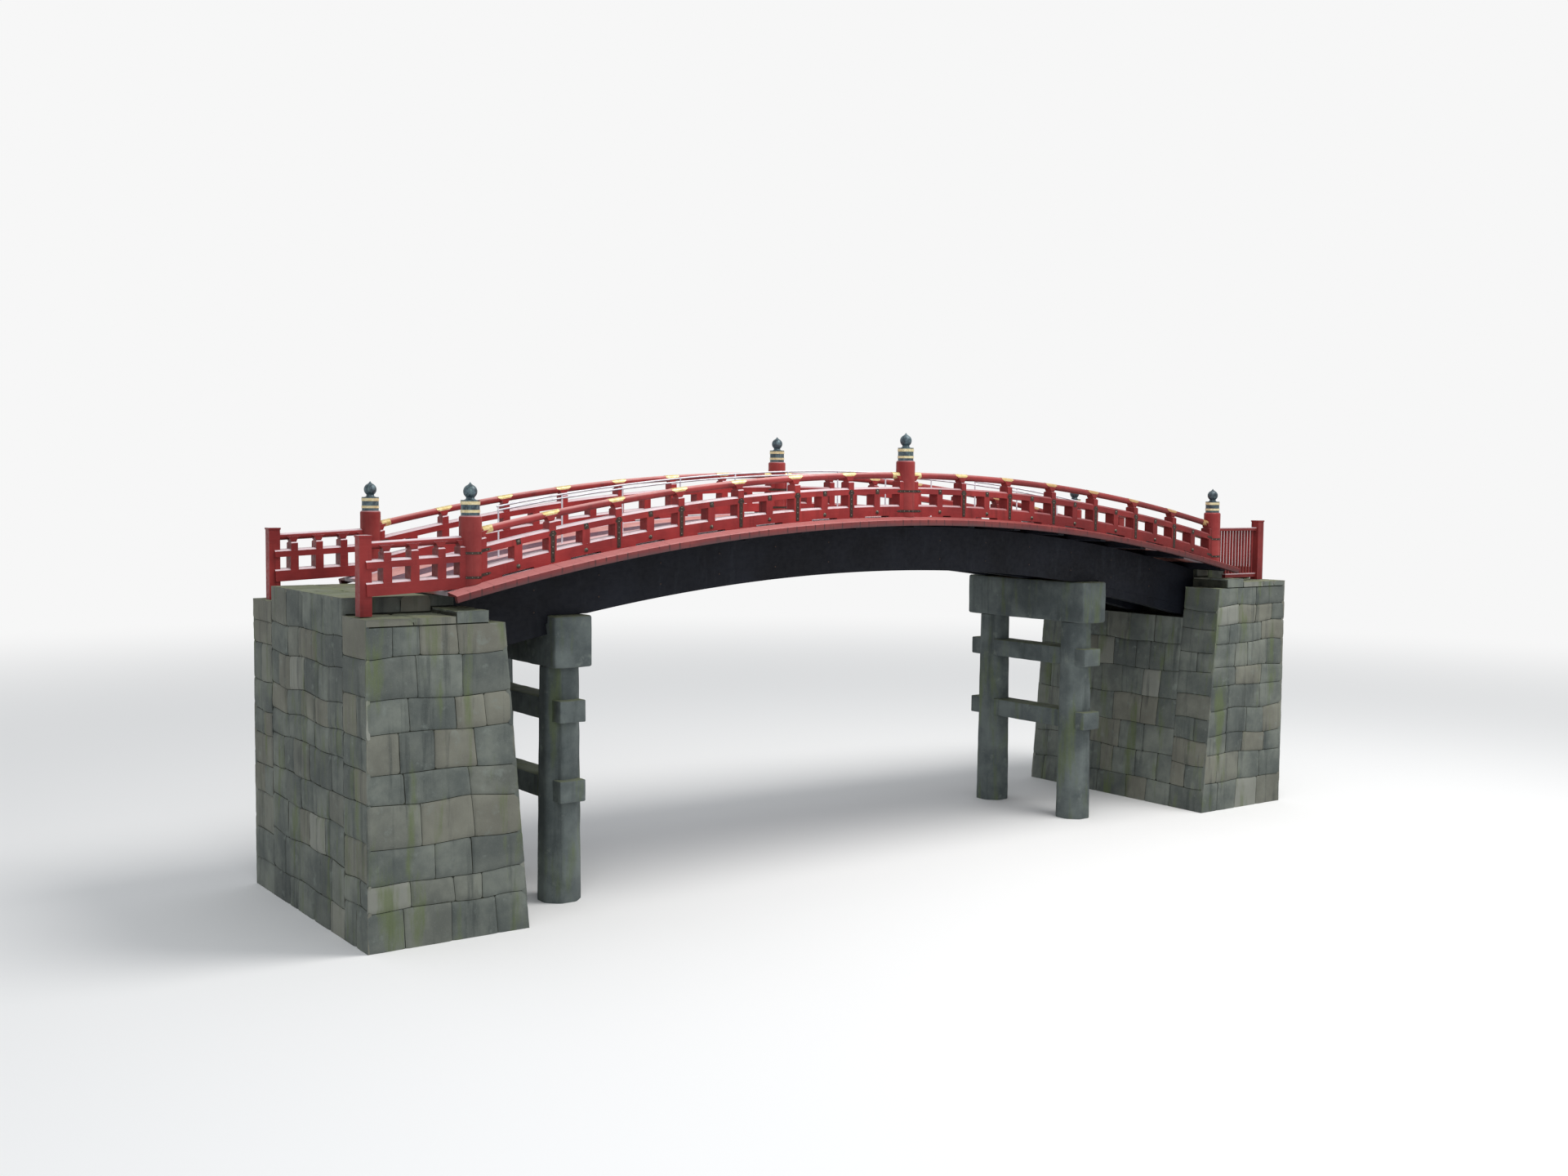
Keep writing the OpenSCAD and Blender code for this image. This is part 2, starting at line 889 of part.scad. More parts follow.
// square post of a wing with its cap plate, its body w wide and its top at z
module wing_end(x, s, z) {
    translate([x - wing_post / 2, s * py - wing_post / 2, wing_foot_z])
        cube([wing_post, wing_post, z - wing_foot_z]);
    translate([x - wing_post / 2 - 15, s * py - wing_post / 2 - 15, z - 10])
        cube([wing_post + 30, wing_post + 30, 50]);
}

// picket fence between the end post and a square post on the right bank
module right_wing(s) {
    edge = half + post_d / 2;
    x0 = edge - 12;
    length = right_wing_x + 2 - x0;
    step = (right_wing_x - wing_post / 2 - edge) / (pickets + 1);
    color(red)
        difference() {
            union() {
                wing_end(right_wing_x, s, end_rail_z + 20);
                translate([x0, s * py - fence_t / 2, fence_z - fence_bar])
                    cube([length, fence_t, fence_bar]);
                translate([x0, s * py - fence_t / 2 + 10, fence_z - fence_h])
                    cube([length, fence_t - 20, fence_bar + 30]);
                for (i = [1 : pickets])
                    translate([edge + step * i - picket_w / 2, s * py - picket_t / 2,
                            fence_z - fence_h + fence_bar / 2])
                        cube([picket_w, picket_t, fence_h - fence_bar]);
            }
            post_holes(s);
            deck_space();
        }
}

module right_wing_near() {
    right_wing(-1);
}

module right_wing_far() {
    right_wing(1);
}

// straight bar of a left wing at a drop, from inside the end post to the last post
module wing_bar(s, drop) {
    at(left_wing_x, drop)
        translate([0, s * py, 0])
            rotate([90, 0, 90])
                linear_extrude(left_wing_run - post_d / 3)
                    children();
}

// bevelled rail section with its top at zero
module rail_section(h, bevel) {
    w = rail_t / 2;
    polygon([[-w, -h], [w, -h], [w, -bevel], [w - bevel, 0], [-w + bevel, 0],
        [-w, -bevel]]);
}

// railing on the left bank, built like the bridge's own, with a square last post
module left_wing(s) {
    first = -half - 1.2 * wing_bay;
    color(red)
        difference() {
            union() {
                union() {
                    wing_end(left_wing_x, s, line_z(left_wing_x, 0) + 120);
                    at(left_wing_x, rail_d / 2)
                        translate([0, s * py, 0])
                            rotate([0, 90, 0])
                                cylinder(d = rail_d, h = left_wing_run - post_d / 3);
                    wing_bar(s, mid_drop)
                        rail_section(mid_h, mid_bevel);
                    wing_bar(s, low_drop)
                        rail_section(low_h - 20, low_bevel);
                }
                for (x = [first, first - wing_bay, first - 2 * wing_bay]) {
                    upright(x, s, bal_w);
                    baluster_top(x, s, rail_d);
                }
                upright(-half - jamb_x, s, bal_w);
                baluster_top(-half - jamb_x, s, rail_d);
            }
            post_holes(s);
            mirror([1, 0, 0])
                deck_space();
        }
}

module left_wing_near() {
    left_wing(-1);
}

module left_wing_far() {
    left_wing(1);
}

// visitors' handrail along the middle of the deck: two pipes on thin posts
module centre_handrail() {
    reach = hand_half - 40;
    color(steel)
        union() {
            for (drop = [-pipe_up, pipe_gap - pipe_up])
                sweep(-hand_half, hand_half)
                    translate([R - drop, 0])
                        rotate(90)
                            circle(d = pipe_d);
            for (i = [0 : hand_posts - 1]) {
                x = -reach + 2 * reach * i / (hand_posts - 1);
                difference() {
                    translate([x, 0, arc_z(x, deck_drop) - 100])
                        cylinder(d = hand_post_d, h = deck_drop + pipe_up + 90, $fn = 12);
                    at(x, deck_drop)
                        translate([-200, -200, -400])
                            cube([400, 400, 400]);
                }
            }
        }
}

deck();
deck_edge_near();
deck_edge_far();
joists();
girder_near();
girder_middle();
girder_far();
tail_beams_left();
tail_beams_right();
bottom_rail_near();
bottom_rail_far();
mid_rail_near();
mid_rail_far();
top_rail_near();
top_rail_far();
balusters_near();
balusters_far();
rail_blocks_near();
rail_blocks_far();
post_left_near();
post_left_far();
post_mid_near();
post_mid_far();
post_right_near();
post_right_far();
caps_near();
caps_far();
cap_bands();
post_straps();
baluster_straps();
rail_plates();
left_pier_cap();
left_pier_columns();
left_pier_ties();
right_pier_cap();
right_pier_columns();
right_pier_ties();
left_abutment();
right_abutment();
left_wing_near();
left_wing_far();
right_wing_near();
right_wing_far();
centre_handrail();
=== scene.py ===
import math
import random

import bmesh
import bpy
from mathutils import Matrix, Vector, noise


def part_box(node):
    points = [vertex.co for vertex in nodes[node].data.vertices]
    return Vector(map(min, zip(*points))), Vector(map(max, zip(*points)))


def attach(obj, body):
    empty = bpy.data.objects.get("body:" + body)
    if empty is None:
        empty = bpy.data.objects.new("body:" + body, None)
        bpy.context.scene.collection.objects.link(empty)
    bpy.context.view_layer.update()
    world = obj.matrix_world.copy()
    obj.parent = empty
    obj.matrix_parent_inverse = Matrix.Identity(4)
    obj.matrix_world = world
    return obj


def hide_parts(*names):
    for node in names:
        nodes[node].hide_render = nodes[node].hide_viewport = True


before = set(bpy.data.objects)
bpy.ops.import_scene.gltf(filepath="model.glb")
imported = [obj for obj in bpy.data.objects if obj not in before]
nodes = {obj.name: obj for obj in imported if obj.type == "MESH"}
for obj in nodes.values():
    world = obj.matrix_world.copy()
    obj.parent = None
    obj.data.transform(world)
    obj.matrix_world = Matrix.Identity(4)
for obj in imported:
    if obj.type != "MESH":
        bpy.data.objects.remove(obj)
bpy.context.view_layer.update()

# Without a seed of its own, noise_vector would differ from run to run
noise.seed_set(5)

# Sizes in metres, the same as in the solids
SPAN = 28.0
RISE = 1.577
END_RAIL_Z = 10.0
HALF = SPAN / 2
LINE_Y = 3.297
DECK_END = 14.7
DECK_DROP = 1.3215
DECK_T = 0.1
MID_DROP = 0.437
MID_H = 0.203
MID_BEVEL = 0.048
LOW_DROP = 0.958
LOW_H = DECK_DROP - LOW_DROP
RAIL_T = 0.374
RAIL_D = 0.19
RAIL_IN = LINE_Y - RAIL_T / 2
RAIL_OUT = LINE_Y + RAIL_T / 2
LEDGE_W = 0.508
LEDGE_FALL = 0.068
EDGE_T = 0.14
EDGE_H = 0.18
LEDGE_OUT = RAIL_OUT + LEDGE_W
UNDER_DROP = 2.98
TAIL_H = 0.29
POST_D = 0.565
GIRDER_OUT = 2.42
GIRDER_TOP = DECK_DROP + DECK_T + 0.2
STRAP_T = 0.006
BAYS = 5
END_BAY = 1.13
BAY = HALF / (BAYS + 2 * END_BAY)
BALUSTER_X = [END_BAY * BAY + i * BAY for i in range(BAYS + 1)]
BALUSTERS = [-x for x in BALUSTER_X] + BALUSTER_X
BLOCK_X = [BALUSTER_X[0] - BAY / 2 + i * BAY for i in range(BAYS + 2)]
BLOCKS = [-x for x in BLOCK_X] + BLOCK_X
POSTS = [-HALF, 0.0, HALF]
R = (SPAN * SPAN / 4 + RISE * RISE) / (2 * RISE)
ZC = END_RAIL_Z + RISE - R
PLANKS_A_BAY = 6
PLANK = BAY / PLANKS_A_BAY
PLANK_GAP = 0.0014
FENCE_BARS = (END_RAIL_Z - 0.19, END_RAIL_Z - 1.82)
FENCE_END = HALF + 2.35


def arc_z(x, drop):
    """Height of an arc at x, a drop under the top rail."""
    return math.sqrt((R - drop) ** 2 - x * x) + ZC


def slope(x, drop=0.0):
    """Angle of an arc at x, 0 at the crown."""
    return math.asin(x / (R - drop))


def on_arc(angle, drop, y):
    """Point at a slope angle, a drop under the top rail and a distance across."""
    r = R - drop
    return Vector((r * math.sin(angle), y, ZC + r * math.cos(angle)))


# Materials


class Tree:
    """Short names for making and joining shader nodes."""

    def __init__(self, name):
        self.material = bpy.data.materials.new(name)
        self.material.use_nodes = True
        self.tree = self.material.node_tree
        self.tree.nodes.clear()
        self.out = self.tree.nodes.new("ShaderNodeOutputMaterial")
        self.shader = self.tree.nodes.new("ShaderNodeBsdfPrincipled")
        self.join(self.shader.outputs[0], self.out.inputs["Surface"])
        coords = self.tree.nodes.new("ShaderNodeTexCoord")
        self.place = coords.outputs["Object"]
        geometry = self.tree.nodes.new("ShaderNodeNewGeometry")
        split = self.tree.nodes.new("ShaderNodeSeparateXYZ")
        self.join(geometry.outputs["Normal"], split.inputs[0])
        self.normal_z = split.outputs[2]
        self.island = geometry.outputs["Random Per Island"]
        where = self.tree.nodes.new("ShaderNodeSeparateXYZ")
        self.join(self.place, where.inputs[0])
        self.x, self.y, self.z = where.outputs

    def join(self, a, b):
        self.tree.links.new(a, b)

    def put(self, value, socket):
        if isinstance(value, bpy.types.NodeSocket):
            self.join(value, socket)
        else:
            socket.default_value = value

    def scaled(self, x, y, z):
        node = self.tree.nodes.new("ShaderNodeMapping")
        self.join(self.place, node.inputs["Vector"])
        node.inputs["Scale"].default_value = (x, y, z)
        return node.outputs[0]

    def noise(self, scale, detail=4, rough=0.55, vector=None):
        node = self.tree.nodes.new("ShaderNodeTexNoise")
        self.join(vector or self.place, node.inputs["Vector"])
        node.inputs["Scale"].default_value = scale
        node.inputs["Detail"].default_value = detail
        node.inputs["Roughness"].default_value = rough
        return node.outputs["Fac"]

    def cells(self, scale):
        node = self.tree.nodes.new("ShaderNodeTexVoronoi")
        self.join(self.place, node.inputs["Vector"])
        node.inputs["Scale"].default_value = scale
        return node.outputs["Distance"]

    def ramp(self, value, low, high, a=0.0, b=1.0):
        node = self.tree.nodes.new("ShaderNodeMapRange")
        node.interpolation_type = "SMOOTHSTEP"
        self.put(value, node.inputs["Value"])
        node.inputs["From Min"].default_value = low
        node.inputs["From Max"].default_value = high
        node.inputs["To Min"].default_value = a
        node.inputs["To Max"].default_value = b
        return node.outputs[0]

    def math(self, kind, a, b=0.0):
        node = self.tree.nodes.new("ShaderNodeMath")
        node.operation = kind
        self.put(a, node.inputs[0])
        self.put(b, node.inputs[1])
        return node.outputs[0]

    def product(self, share, *others):
        for other in others:
            share = self.math("MULTIPLY", share, other)
        return share

    def mix(self, factor, a, b):
        node = self.tree.nodes.new("ShaderNodeMix")
        node.data_type = "RGBA"
        self.put(factor, node.inputs[0])
        self.put(a if isinstance(a, bpy.types.NodeSocket) else (*a, 1), node.inputs[6])
        self.put(b if isinstance(b, bpy.types.NodeSocket) else (*b, 1), node.inputs[7])
        return node.outputs[2]

    def bump(self, height, distance, strength=1.0, normal=None):
        node = self.tree.nodes.new("ShaderNodeBump")
        self.join(height, node.inputs["Height"])
        node.inputs["Distance"].default_value = distance
        node.inputs["Strength"].default_value = strength
        if normal is not None:
            self.join(normal, node.inputs["Normal"])
        return node.outputs[0]

    def finish(self, colour, rough, normal=None, metallic=0.0, coat=0.0, specular=0.5):
        self.put(colour, self.shader.inputs["Base Color"])
        self.put(rough, self.shader.inputs["Roughness"])
        self.shader.inputs["Metallic"].default_value = metallic
        self.shader.inputs["Coat Weight"].default_value = coat
        self.shader.inputs["Coat Roughness"].default_value = 0.15
        self.shader.inputs["Specular IOR Level"].default_value = specular
        if normal is not None:
            self.join(normal, self.shader.inputs["Normal"])
        return self.material


def srgb(r, g, b):
    """A colour given as it looks on a screen, 0 to 255, as linear numbers."""
    return tuple(
        c / 255 / 12.92 if c / 255 <= 0.04045 else ((c / 255 + 0.055) / 1.055) ** 2.4
        for c in (r, g, b)
    )


RED = srgb(160, 57, 56)
RED_DEEP = srgb(130, 45, 46)
RED_FADED = srgb(178, 80, 76)
# Pale pink of the painted sky sheen on red faces that look up
RED_SHEEN = srgb(218, 198, 203)
PINK = srgb(228, 168, 158)
# Pale lilac for the middle strip of the deck and for its painted sky sheen and reflection
LILAC_SHEEN = srgb(228, 216, 226)
STRIP_GREY = srgb(60, 44, 68)
# Dark red-brown for grime streaks and dirty joints, and for painted shade
GRIME_AND_SHADE = srgb(62, 28, 26)
STRIP_IN, STRIP_OUT = 0.26, 1.32


def lacquer(
    name,
    along="x",
    pale=1.0,
    faded=0.35,
    base=RED,
    sheen=RED_SHEEN,
    up=(0.45, 0.66),
    deep=RED_DEEP,
    coat=0.04,
    specular=0.14,
    fade_x=(-5.0, 7.0),
    right_shade=0.45,
    marks=(),
):
    """Red lacquer on timber: grain, uneven fading, grime, painted sheen on top and painted
    shade.

    The sheen fades over fade_x, the argument after it sets the painted shade at the right
    bank, and marks are functions that add what only one kind of piece has.
    """
    t = Tree(name)
    stretch = {"x": (0.5, 6, 6), "z": (6, 6, 0.5)}[along]
    grain = t.noise(5.0, 5, 0.6, t.scaled(*stretch))
    clouds = t.noise(0.7, 4, 0.6)
    streaks = t.noise(1.6, 4, 0.6, t.scaled(2.6, 2.6, 0.25))
    fine = t.noise(38.0, 3, 0.6)
    colour = t.mix(t.ramp(clouds, 0.35, 0.68), deep, base)
    colour = t.mix(t.ramp(grain, 0.5, 0.85, 0.0, faded), colour, RED_FADED)
    colour = t.mix(t.ramp(streaks, 0.55, 0.8, 0.0, 0.5), colour, GRIME_AND_SHADE)
    flaked = t.product(t.ramp(fine, 0.66, 0.72), t.ramp(clouds, 0.5, 0.7), 0.6)
    colour = t.mix(flaked, colour, RED_FADED)
    # Painted sheen: the sky's reflection on faces that look up, patchy and weaker towards the
    # right bank
    top = t.ramp(t.normal_z, *up)
    patchy = t.ramp(t.noise(2.4, 4, 0.7), 0.25, 0.5, 0.72, 1.0)
    toward = t.ramp(t.x, *fade_x, 1.0, 0.12)
    colour = t.mix(t.product(top, patchy, toward, pale), colour, sheen)
    for mark in marks:
        colour = mark(t, colour)
    # Painted shade on the sides near the left bank
    sideways = t.ramp(t.normal_z, 0.1, 0.5, 1.0, 0.0)
    left_shade = t.ramp(t.x, -HALF - 0.6, -HALF + 1.6, 0.27, 0.0)
    colour = t.mix(t.product(left_shade, sideways), colour, GRIME_AND_SHADE)
    # Painted shade, more and more towards the right bank
    colour = t.mix(t.ramp(t.x, -2.0, HALF, 0.0, right_shade), colour, GRIME_AND_SHADE)
    # Painted shade on faces that look down
    under = t.ramp(t.normal_z, -0.9, -0.3, 0.45, 0.0)
    colour = t.mix(under, colour, GRIME_AND_SHADE)
    rough = t.ramp(t.noise(9.0, 4, 0.6), 0.3, 0.7, 0.34, 0.58)
    normal = t.bump(grain, 0.003, 0.5)
    normal = t.bump(fine, 0.001, 0.4, normal)
    return t.finish(colour, rough, normal, coat=coat, specular=specular)


def deck_bands(t, colour):
    """The dark walking strips on both sides of the handrail, a pale middle strip, and painted
    sky reflection under the rails.
    """
    off = t.math("ABSOLUTE", t.y)
    worn = t.ramp(t.noise(1.3, 4, 0.6, t.scaled(0.4, 2, 1)), 0.3, 0.7, 0.84, 0.94)
    inner = t.ramp(off, STRIP_IN, STRIP_IN + 0.04)
    outer = t.ramp(off, STRIP_OUT - 0.04, STRIP_OUT, 1.0, 0.0)
    colour = t.mix(t.product(inner, outer, worn), colour, STRIP_GREY)
    middle = t.ramp(off, STRIP_IN - 0.08, STRIP_IN, 0.35, 0.0)
    # Painted reflection of the sky on the deck next to and under the rails
    rail_reflection = t.ramp(off, RAIL_IN - 0.6, RAIL_IN - 0.1, 0.0, 0.95)
    return t.mix(t.math("MAXIMUM", middle, rail_reflection), colour, LILAC_SHEEN)


def nosing_dust(t, colour):
    """Grey road dust on the front of the edge boards, thicker towards their lower edge."""
    z = t.math("SUBTRACT", t.z, ZC)
    radius = t.math("SQRT", t.math("ADD", t.product(t.x, t.x), t.product(z, z)))
    drop = t.math("SUBTRACT", R, radius)
    top = DECK_DROP + LEDGE_FALL
    front = t.ramp(t.normal_z, 0.3, 0.6, 1.0, 0.0)
    patchy = t.ramp(t.noise(1.7, 4, 0.6), 0.3, 0.7, 0.75, 1.0)
    dust = t.product(t.ramp(drop, top + 0.02, top + EDGE_H, 0.4, 0.85), front, patchy)
    return t.mix(dust, colour, srgb(78, 68, 70))


def bar_highlights(t, colour):
    """Painted highlights on the upper edges of the two bars of the picket fences."""
    between = t.ramp(t.x, FENCE_END - 0.01, FENCE_END, 1.0, 0.0)
    for top in FENCE_BARS:
        edge = t.ramp(t.z, top - 0.035, top - 0.02, 0.0, 0.7)
        over = t.ramp(t.z, top + 0.002, top + 0.006, 1.0, 0.0)
        colour = t.mix(t.product(edge, over, between), colour, RED_SHEEN)
    return colour


def plank_grime(t, colour):
    """Dirt along the joints between planks, thicker in places."""
    angle = t.math("ARCSINE", t.math("DIVIDE", t.x, R - DECK_DROP))
    count = t.math("DIVIDE", angle, PLANK / (R - DECK_DROP))
    off = t.math("PINGPONG", count, 0.5)
    patches = t.ramp(t.noise(3.1, 3, 0.6), 0.44, 0.6, 0.08, 0.9)
    front = t.ramp(t.normal_z, 0.3, 0.8, 1.0, 0.15)
    joint = t.ramp(off, 0.01, 0.11, 1.0, 0.0)
    return t.mix(t.product(joint, patches, front), colour, GRIME_AND_SHADE)


def black_timber():
    """Black lacquer on the girders: blue-black, dusty on top, with long grain and stains."""
    t = Tree("black_timber")
    grain = t.noise(4.0, 5, 0.6, t.scaled(0.4, 5, 7))
    clouds = t.noise(0.55, 4, 0.6)
    stains = t.noise(1.3, 5, 0.65, t.scaled(1.6, 1.6, 0.3))
    fine = t.noise(30.0, 3, 0.6)
    colour = t.mix(t.ramp(clouds, 0.3, 0.7), srgb(14, 16, 22), srgb(26, 29, 37))
    colour = t.mix(t.ramp(stains, 0.55, 0.8, 0.0, 0.55), colour, srgb(44, 48, 54))
    colour = t.mix(t.ramp(grain, 0.55, 0.9, 0.0, 0.4), colour, srgb(36, 36, 41))
    colour = t.mix(t.ramp(t.normal_z, 0.5, 0.9, 0.0, 0.6), colour, srgb(92, 90, 88))
    rough = t.ramp(t.noise(7.0, 4, 0.6), 0.3, 0.7, 0.42, 0.68)
    normal = t.bump(grain, 0.006, 0.6)
    normal = t.bump(fine, 0.001, 0.5, normal)
    return t.finish(colour, rough, normal, specular=0.15)


def bronze():
    """Dark patinated bronze of the caps, with painted shade towards the right bank."""
    t = Tree("cap_bronze")
    clouds = t.noise(7.0, 5, 0.65)
    runs = t.noise(9.0, 4, 0.6, t.scaled(2.5, 2.5, 0.35))
    fine = t.noise(90.0, 3, 0.6)
    colour = t.mix(t.ramp(clouds, 0.35, 0.7), srgb(48, 61, 69), srgb(96, 115, 123))
    colour = t.mix(t.ramp(runs, 0.5, 0.75, 0.0, 0.6), colour, srgb(122, 150, 146))
    # Painted shade, more and more towards the right bank
    colour = t.mix(t.ramp(t.x, 4.0, 13.0, 0.0, 0.45), colour, srgb(42, 48, 54))
    rough = t.ramp(clouds, 0.3, 0.7, 0.36, 0.56)
    normal = t.bump(fine, 0.0006, 0.6)
    return t.finish(colour, rough, normal, metallic=0.4, specular=0.5)


def gilt(name, dark, light, dull):
    """Gilt metal, worn and tarnished in patches, with painted shade towards the right bank."""
    t = Tree(name)
    clouds = t.noise(9.0, 5, 0.7)
    spots = t.noise(42.0, 4, 0.6)
    colour = t.mix(t.ramp(clouds, 0.35, 0.7), dark, light)
    colour = t.mix(t.ramp(spots, 0.6, 0.72, 0.0, 0.6), colour, srgb(128, 106, 62))
    # Painted shade, more and more towards the right bank
    colour = t.mix(t.ramp(t.x, 0.0, 9.0, 0.0, dull), colour, srgb(156, 110, 66))
    rough = t.ramp(spots, 0.35, 0.65, 0.3, 0.5)
    normal = t.bump(spots, 0.0008, 0.5)
    return t.finish(colour, rough, normal, metallic=0.35, specular=0.6)


def iron():
    """Dark iron of straps and studs."""
    t = Tree("iron")
    clouds = t.noise(16.0, 5, 0.65)
    fine = t.noise(120.0, 3, 0.6)
    colour = t.mix(t.ramp(clouds, 0.35, 0.7), srgb(46, 33, 29), srgb(72, 57, 48))
    colour = t.mix(t.ramp(fine, 0.6, 0.75, 0.0, 0.5), colour, srgb(112, 78, 56))
    rough = t.ramp(clouds, 0.3, 0.7, 0.4, 0.62)
    normal = t.bump(fine, 0.0008, 0.6)
    return t.finish(colour, rough, normal, metallic=0.5)


def stud_iron():
    """Domed stud heads, rubbed brighter than the straps."""
    t = Tree("stud_iron")
    clouds = t.noise(24.0, 4, 0.6)
    colour = t.mix(t.ramp(clouds, 0.35, 0.7), srgb(60, 56, 50), srgb(106, 101, 90))
    rough = t.ramp(clouds, 0.3, 0.7, 0.24, 0.4)
    normal = t.bump(clouds, 0.0008, 0.5)
    return t.finish(colour, rough, normal, metallic=0.7)


def nail_iron():
    """Small nail and bolt heads, grey where they are rubbed."""
    t = Tree("nail_iron")
    clouds = t.noise(12.0, 4, 0.6)
    colour = t.mix(t.ramp(clouds, 0.35, 0.65), srgb(70, 68, 62), srgb(138, 134, 120))
    rough = t.ramp(clouds, 0.3, 0.7, 0.3, 0.5)
    return t.finish(colour, rough, t.bump(clouds, 0.0006, 0.5), metallic=0.5)


def stone(name, light, dark, moss_amount=0.6, top_moss=0.55, varied=0.0):
    """Grey-green stone: grain, vertical stains, lichen and moss, each block its own tone."""
    t = Tree(name)
    clouds = t.noise(0.8, 5, 0.62)
    patches = t.noise(2.6, 5, 0.6)
    stains = t.noise(1.4, 5, 0.65, t.scaled(2.2, 2.2, 0.16))
    moss_runs = t.noise(1.1, 4, 0.6, t.scaled(1.9, 1.9, 0.3))
    grit = t.noise(46.0, 4, 0.7)
    pits = t.cells(26.0)
    colour = t.mix(t.ramp(clouds, 0.3, 0.72), dark, light)
    if varied:
        colour = t.mix(t.ramp(t.island, 0.0, 0.35, varied, 0.0), colour, srgb(62, 66, 66))
        colour = t.mix(t.ramp(t.island, 0.55, 0.8, 0.0, varied), colour, srgb(128, 122, 106))
        colour = t.mix(t.ramp(t.island, 0.93, 1.0, 0.0, varied), colour, srgb(156, 160, 154))
    colour = t.mix(t.ramp(stains, 0.52, 0.72, 0.0, 0.6), colour, srgb(52, 58, 58))
    colour = t.mix(t.ramp(patches, 0.58, 0.74, 0.0, 0.5), colour, srgb(124, 132, 126))
    moss = t.ramp(moss_runs, 0.52, 0.7, 0.0, moss_amount)
    colour = t.mix(moss, colour, srgb(92, 104, 66))
    colour = t.mix(t.ramp(grit, 0.55, 0.75, 0.0, 0.35), colour, srgb(146, 150, 146))
    up = t.ramp(t.normal_z, 0.4, 0.85, 0.0, top_moss)
    top = t.product(up, t.ramp(patches, 0.3, 0.6, 0.5, 1.0))
    colour = t.mix(top, colour, srgb(112, 118, 82))
    rough = t.ramp(grit, 0.3, 0.7, 0.78, 0.95)
    normal = t.bump(patches, 0.03, 0.5)
    normal = t.bump(grit, 0.004, 0.7, normal)
    normal = t.bump(t.ramp(pits, 0.0, 0.25), 0.003, 0.5, normal)
    return t.finish(colour, rough, normal, specular=0.3)


def joint_stone():
    """Dark earth and shadow in the joints of the masonry."""
    t = Tree("joint_stone")
    clouds = t.noise(3.0, 5, 0.65)
    grit = t.noise(40.0, 4, 0.7)
    colour = t.mix(t.ramp(clouds, 0.3, 0.7), srgb(40, 42, 38), srgb(66, 68, 58))
    return t.finish(colour, 0.95, t.bump(grit, 0.01, 0.7), specular=0.2)


def steel():
    """Silver painted handrail pipes, with dull patches and painted shade on their undersides.
    """
    t = Tree("steel_pipe")
    clouds = t.noise(5.0, 4, 0.6)
    fine = t.noise(70.0, 3, 0.6)
    colour = t.mix(t.ramp(clouds, 0.3, 0.7), srgb(206, 206, 216), srgb(240, 240, 246))
    colour = t.mix(t.ramp(fine, 0.64, 0.74, 0.0, 0.4), colour, srgb(142, 144, 152))
    # Painted shade on the undersides of the pipes
    colour = t.mix(t.ramp(t.normal_z, -0.75, 0.1, 0.85, 0.0), colour, srgb(70, 72, 84))
    rough = t.ramp(clouds, 0.3, 0.7, 0.32, 0.5)
    return t.finish(colour, rough, t.bump(fine, 0.0005, 0.5), metallic=0.15)


# Each red sets its own painted sheen on faces that look up and its own painted shade at the
# right bank
RAIL_RED = lacquer("rail_red")
ROUND_RED = lacquer(
    "round_red", pale=0.75, sheen=srgb(226, 164, 160), up=(0.2, 1.0), specular=0.25
)
UPRIGHT_RED = lacquer("upright_red", "z")
POST_RED = lacquer("post_red", "z", pale=0.35, base=srgb(157, 68, 65), right_shade=0.0)
# The fence's base and deep reds are darker than the bridge's: painted shade at the right bank
FENCE_RED = lacquer(
    "fence_red",
    "z",
    pale=0.7,
    base=srgb(138, 50, 48),
    deep=srgb(108, 39, 39),
    fade_x=(20.0, 30.0),
    right_shade=0.08,
    marks=(bar_highlights,),
)
DECK_RED = lacquer(
    "deck_red",
    pale=0.12,
    faded=0.2,
    base=PINK,
    sheen=LILAC_SHEEN,
    deep=srgb(204, 134, 124),
    coat=0.0,
    specular=0.1,
    right_shade=0.0,
    marks=(plank_grime, deck_bands),
)
LEDGE_RED = lacquer(
    "ledge_red",
    pale=0.75,
    faded=0.6,
    base=srgb(150, 62, 58),
    sheen=srgb(206, 140, 138),
    fade_x=(-8.0, 7.0),
    marks=(plank_grime, nosing_dust),
)
BLACK = black_timber()
BRONZE = bronze()
GILT = gilt("gilt_brass", srgb(196, 170, 108), srgb(228, 212, 160), 0.75)
BAND_GILT = gilt("band_gilt", srgb(202, 184, 136), srgb(230, 220, 182), 0.0)
IRON = iron()
STUD = stud_iron()
NAIL = nail_iron()
PIER = stone("pier_stone", srgb(104, 112, 110), srgb(70, 77, 78))
WALL = stone(
    "wall_stone",
    srgb(120, 125, 117),
    srgb(84, 90, 87),
    moss_amount=0.7,
    top_moss=0.5,
    varied=0.4,
)
JOINT = joint_stone()
STEEL = steel()

# The first word that a node's name holds gives its look
LOOKS = (
    ("deck_edge", LEDGE_RED),
    ("deck", DECK_RED),
    ("joists", BLACK),
    ("girder", BLACK),
    ("tail_beams", BLACK),
    ("caps_", BRONZE),
    ("cap_bands", BAND_GILT),
    ("rail_plates", GILT),
    ("straps", IRON),
    ("centre_handrail", STEEL),
    ("pier", PIER),
    ("abutment", WALL),
    ("right_wing", FENCE_RED),
    ("top_rail", ROUND_RED),
    ("baluster", UPRIGHT_RED),
    ("block", UPRIGHT_RED),
    ("post_", POST_RED),
    ("", RAIL_RED),
)
for name, node in nodes.items():
    node.data.materials.clear()
    node.data.materials.append(next(look for word, look in LOOKS if word in name))


# Mesh helpers


